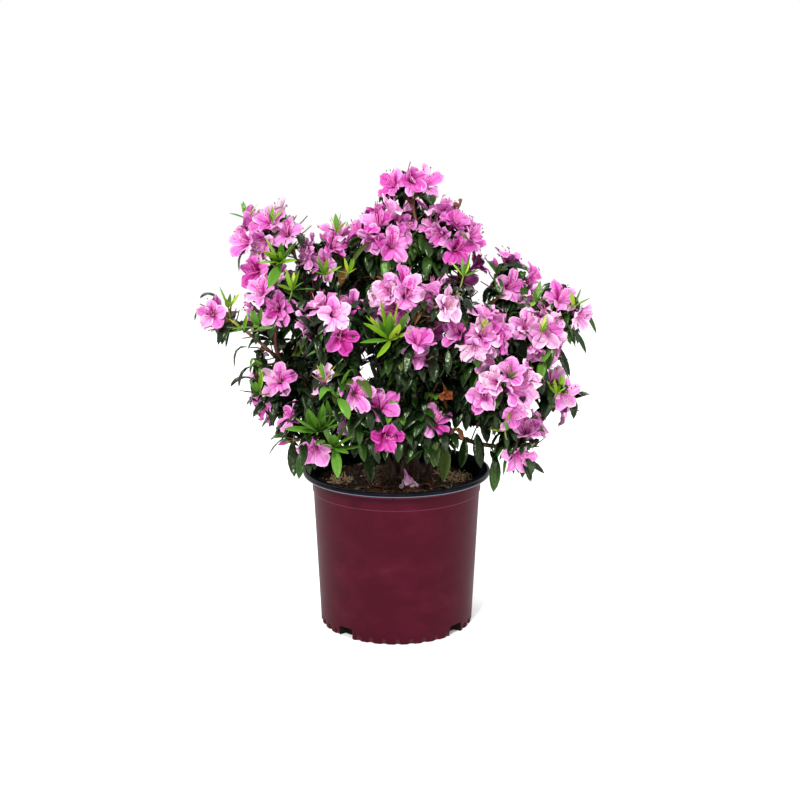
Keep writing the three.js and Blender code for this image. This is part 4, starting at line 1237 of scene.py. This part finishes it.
class Plant:
    """All that has grown on the limbs so far, and the room that it leaves."""

    def __init__(self, limbs):
        self.limbs = limbs
        self.room = Room(limbs)
        self.twigs = Pile()
        self.foliage = Foliage(self.room)
        self.blossom = Blossom()

    def twig(self, curve, radii, tone=TWIG_RED, sides=4):
        along = np.linspace(0, 1, max(4, int(curve.length / 9)))
        self.twigs.add(*tube(curve.at(along), between(*radii, along), sides), tone)

    def bloom_twig(self, mass, tip, facing, bend):
        """The thin twig on which a bloom sits, from its mass's stem."""
        self.twig(arriving(mass["stem"].at(BLOOM_TWIG["from"]), tip, facing, bend), BLOOM_TWIG["radius"])

    def seat_bloom(self, mass, heart, facing):
        """Takes the room of a bloom and grows its twig. Gives the twig's tip."""
        tip = heart - facing * BLOOM_TUBE * BLOOM_TWIG["tube"]
        self.bloom_twig(mass, tip, facing, BLOOM_TWIG["bend"])
        self.room.add_bloom(heart, facing)
        return tip


def red_or_tan(roll, tan_share):
    return TWIG_TAN if roll() < tan_share else TWIG_RED


def grow_side_twigs(plant, mass, curve, shares, leaves=WHORL["leaves"]):
    """Short twigs along a stem or shoot, each with a whorl of leaves at its tip."""
    roll = mass["roll"]
    angle = 2 * math.pi * roll()
    for share in shares:
        angle += math.radians(GOLDEN_ANGLE)
        start, way = curve.at(share), curve.way(share)
        way = unit(way * SIDE_TWIG["lean"] + spoke(way, angle))
        length = between(*SIDE_TWIG["length"], roll())
        end = start + way * length + UP * SIDE_TWIG["lift"] * length
        if np.linalg.norm(end - mass["centre"]) > mass["reach"]:
            end = start + (end - start) * SIDE_TWIG["cut"]
        twig = leaving(start, way, end, 0.5)
        if plant.room.is_clear(twig.at(np.linspace(0.4, 1, 4))):
            plant.twig(twig, SIDE_TWIG["radius"], red_or_tan(roll, SIDE_TWIG["tan"]))
            plant.foliage.whorl(mass, end, twig.way(1.0), leaves, between(0.8, 1.0, roll()))


def grow_shoots(plant, mass):
    """Each shoot takes the first of its places that is clear of the blooms before it."""
    roll = mass["roll"]
    for shoot in mass["shoots"]:
        # Each shoot takes one number of the row before it grows.
        roll()
        facing, bare = shoot["facing"], shoot["kind"] == "bare"
        throat = facing * BLOOM_TUBE
        free = (line for line in shoot["curves"] if bare or plant.room.opens(line.at(1.0) + throat))
        curve = next(free, None)
        if curve is None:
            continue
        plant.twig(curve, SHOOT_RADIUS, red_or_tan(roll, SHOOT_TAN_SHARE), THICK_TWIG_SIDES)
        mass["grown"].append((curve, facing, bare))
        if bare and roll() < BUD_SHARE:
            plant.blossom.bud(curve.at(1.0), facing, roll)
        if not bare:
            plant.room.add_bloom(curve.at(1.0) + throat, facing)
            opening = between(0.5, 1.0, roll())
            size = between(0.93, 1.06, roll())
            plant.blossom.bloom(curve.at(1.0), facing, roll, mass["tone"], size, opening)


def add_placed_blooms(plant, masses):
    """The blooms at places of their own, each where none stands yet."""
    roll = dice(SEEDS["placed"])
    for name, heart, facing, tone in PLACED_BLOOMS:
        heart, facing = np.array(heart, float), unit(facing)
        if plant.room.blooms_clear(heart[None], TRUSS_ROOM):
            tip = plant.seat_bloom(masses[name], heart, facing)
            plant.blossom.bloom(tip, facing, roll, tone, 1.0, 0.7)


def fill_truss(plant, mass):
    """Further blooms crowd in between the first ones, over the outer side of the mass."""
    roll, out = mass["roll"], mass["out"]
    wanted = mass["more"]
    for _ in range(TRUSS["tries"]):
        if not wanted:
            break
        tilt = math.radians(between(*TRUSS["tilt"], roll()))
        aside = spoke(out, math.radians(360 * roll()))
        way = unit(out * math.cos(tilt) + aside * math.sin(tilt) + UP * 0.25)
        heart = mass["centre"] + way * mass["reach"] * between(*TRUSS["away"], roll())
        facing = unit(way + UP * between(-0.3, 0.3, roll()))
        if plant.room.takes_more(heart):
            tip = plant.seat_bloom(mass, heart, facing)
            size = between(*TRUSS["size"], roll())
            plant.blossom.bloom(tip, facing, roll, mass["tone"], size, between(*TRUSS["opening"], roll()))
            wanted -= 1


def grow_leaves(plant, mass):
    grow_side_twigs(plant, mass, mass["stem"], STEM_TWIG_PLACES)
    for curve, facing, bare in mass["grown"]:
        grow_side_twigs(plant, mass, curve, SHOOT_TWIG_PLACES)
        leaves, back = (WHORL["leaves"] + 1, 0) if bare else (WHORL["collar"], 3)
        plant.foliage.whorl(mass, curve.at(1.0) - facing * back, facing, leaves)


def grow_inner_leaves(plant):
    """Leafy twigs along the stems and boughs, which close the inside of the crown."""
    for i, (name, (curve, _, _)) in enumerate(plant.limbs.items()):
        for share in LIMB_TWIG_PLACES:
            place = curve.at(share)
            if name != "trunk" and place[2] >= INNER["from"]:
                seed = SEEDS["inner_leaves"] + INNER_SEED_STEP * i + int(100 * share)
                spray = {"centre": place, "reach": INNER["reach"], "roll": dice(seed)}
                grow_side_twigs(plant, spray, curve, (share, share - 0.04), INNER["leaves"])


def grow_inner_sprays(plant):
    """Longer sprays with leaves along them, between the crown's front and back halves."""
    for i, (limb, place, tip) in enumerate(INNER_SPRAYS):
        curve = plant.limbs[limb][0]
        tip = np.array(tip, float)
        roll = dice(SEEDS["inner_sprays"] + INNER_SEED_STEP * i)
        spray = {"centre": tip, "reach": INNER["reach"], "roll": roll}
        twig = leaving(curve.at(place), curve.way(place), tip, 0.4)
        plant.twig(twig, STEM_RADIUS, sides=THICK_TWIG_SIDES)
        grow_side_twigs(plant, spray, twig, SPRAY_TWIG_PLACES, INNER["spray"])
        plant.foliage.whorl(spray, tip, twig.way(1.0), INNER["tip"])


def grow_fresh_whorl(plant, mass, tip, leaves, length, upright):
    """New lance-shaped leaves that stand up and out round the tip of a young green twig."""
    roll = mass["roll"]
    start = mass["stem"].at(BLOOM_TWIG["from"])
    axis = unit(unit(tip - start) + UP * upright)
    kind = YOUNG if upright > 0.6 else OLDER
    twig = arriving(start, tip, axis, FRESH_TWIG["bend"])
    plant.twig(twig, FRESH_TWIG["radius"], TWIG_GREEN, THICK_TWIG_SIDES)
    for i in range(leaves):
        angle = 2.4 * i + 0.5 * roll()
        way = opened(axis, angle, math.radians(between(*FRESH["open"], i / (leaves - 1))))
        size = length * between(*FRESH["length"], roll())
        tone = kind["tones"][int(5 * roll()) % 5]
        width = size * between(*kind["width"], roll())
        droop = between(*FRESH["droop"], roll())
        points = leaf_points(tip, way, size, width, droop, FRESH["fold"], between(*FRESH["twist"], roll()))
        if not plant.room.is_past_edge(points, FRESH_SLACK):
            plant.foliage.pile.add(points, LEAF_QUADS, tone)


def grow_fresh_shoots(plant, masses):
    """The new shoots that the photograph shows, and one on each mass at the back."""
    for name, tip, *whorl in FRESH_WHORLS:
        grow_fresh_whorl(plant, masses[name], np.array(tip, float), *whorl)
    whorl = [BACK_WHORL[key] for key in ("leaves", "length", "upright")]
    for mass in masses.values():
        if mass["centre"][1] > BACK_WHORL["from"]:
            tip = mass["centre"] + mass["out"] * mass["reach"] * BACK_WHORL["reach"]
            grow_fresh_whorl(plant, mass, tip + UP * BACK_WHORL["rise"], *whorl)


def wither_bloom(plant, masses):
    """One spent flower that still hangs on its twig."""
    tip, facing = np.array(WITHERED_BLOOM["place"], float), unit(WITHERED_BLOOM["facing"])
    plant.bloom_twig(masses[WITHERED_BLOOM["mass"]], tip, facing, 0.5)
    roll = dice(SEEDS["withered"])
    plant.blossom.bloom(tip, facing, roll, WITHERED + 1, WITHERED_BLOOM["size"], 0.0)


def add_lone_leaves(plant):
    for limb, place, root, way, hook, length, tone in LONE_LEAVES:
        start = plant.limbs[limb][0].at(place)
        root = np.array(root, float)
        plant.twig(Curve(start, (start + root) / 2 + UP * LONE_TWIG["lift"], root), LONE_TWIG["radius"])
        points = leaf_points(root, unit(way), length, 0.34 * length, hook, 0.5, 0.2)
        plant.foliage.pile.add(points, LEAF_QUADS, tone)


def drop_litter(plant):
    """A bloom that has fallen on the soil in front of the trunk, and dry twigs and leaves round it."""
    roll = dice(SEEDS["litter"])
    place, facing = np.array(FALLEN_BLOOM["place"]), unit(FALLEN_BLOOM["facing"])
    plant.blossom.bloom(place, facing, roll, PALEST, FALLEN_BLOOM["size"], FALLEN_BLOOM["opening"])
    for i in range(LITTER["twigs"] + LITTER["leaves"]):
        turn = 2 * math.pi * roll()
        away = between(0.2, 1, roll()) * LITTER["spread"]
        x = LITTER["middle"][0] + away * math.cos(turn)
        y = LITTER["middle"][1] + away * math.sin(turn)
        place = np.array([x, y, float(soil_height(x, y)) + 1])
        heading = 2 * math.pi * roll()
        way = unit([math.cos(heading), math.sin(heading), between(0.05, 0.6, roll())])
        if i < LITTER["twigs"]:
            end = place + way * between(*DRY_TWIG["length"], roll())
            plant.twig(leaving(place, way, end, DRY_TWIG["bend"]), DRY_TWIG["radius"])
        else:
            points = leaf_points(place, way, between(24, 40, roll()), 11, 1.2, 0.9, between(-1, 1, roll()))
            plant.foliage.pile.add(points, LEAF_QUADS, LEAF_BROWN)


def make_shrub():
    limbs = grow_limbs()
    make_wood(limbs)
    plant = Plant(limbs)
    masses = {row[0]: plan_mass(row, limbs, FIRST_SEED + SEED_STEP * i) for i, row in enumerate(MASSES)}
    for mass in masses.values():
        plant.twig(mass["stem"], STEM_RADIUS, sides=THICK_TWIG_SIDES)
        grow_shoots(plant, mass)
    add_placed_blooms(plant, masses)
    for mass in masses.values():
        fill_truss(plant, mass)
    for mass in masses.values():
        grow_leaves(plant, mass)
    grow_inner_leaves(plant)
    grow_inner_sprays(plant)
    add_lone_leaves(plant)
    drop_litter(plant)
    grow_fresh_shoots(plant, masses)
    wither_bloom(plant, masses)
    names = list(masses)
    plant.twigs.pieces("twigs", "bark", plain(TWIG_PAINTS), names)
    leaf_materials = [leaf_material(*row) for row in LEAF_PAINTS]
    plant.foliage.pile.pieces("leaves", "leaf", leaf_materials, names)
    plant.blossom.petals.pieces("petals", "blossom", plain(PETAL_PAINTS), names)
    plant.blossom.stamens.pieces("stamens", "blossom", plain(STAMEN_PAINTS), names)


# The stage

def make_floor():
    mesh = bpy.data.meshes.new("floor")
    corners = [(x * FLOOR_HALF, y * FLOOR_HALF, 0) for x, y in ((-1, -1), (1, -1), (1, 1), (-1, 1))]
    mesh.from_pydata(corners, [], [(0, 1, 2, 3)])
    floor = place_object("floor", mesh)
    material, _ = shader("floor", (0.99, 0.99, 0.99), 0.9, 0.1)
    mesh.materials.append(material)


def light_stage():
    """Soft lamps that face the plant, and a white world."""
    for name, place, size, power in LIGHTS:
        light = bpy.data.lights.new(name, "AREA")
        light.size = size
        light.energy = power
        lamp = place_object(name, light)
        lamp.location = place
        x, y, z = np.array(place) - np.array(LIGHT_AIM)
        lamp.rotation_euler = (math.atan2(math.hypot(x, y), z), 0, math.atan2(x, -y))
    world = bpy.data.worlds.new("studio")
    bpy.context.scene.world = world
    world.use_nodes = True
    sky = world.node_tree.nodes["Background"]
    sky.inputs["Color"].default_value = (1, 1, 1, 1)
    sky.inputs["Strength"].default_value = 1.0
    bpy.context.scene.view_settings.view_transform = "Standard"


def make_camera():
    camera = bpy.data.cameras.new("camera")
    camera.sensor_width = SENSOR_WIDTH
    camera.lens = SENSOR_WIDTH * CAMERA_FOCAL / PHOTO_WIDTH
    camera.clip_start = 0.05
    holder = place_object("camera", camera)
    holder.location = [MM * x for x in CAMERA_PLACE]
    holder.rotation_euler = (math.radians(90 - CAMERA_PITCH), 0, 0)
    bpy.context.scene.camera = holder


make_camera()
make_pot()
make_lip()
make_soil()
make_shrub()
make_floor()
light_stage()
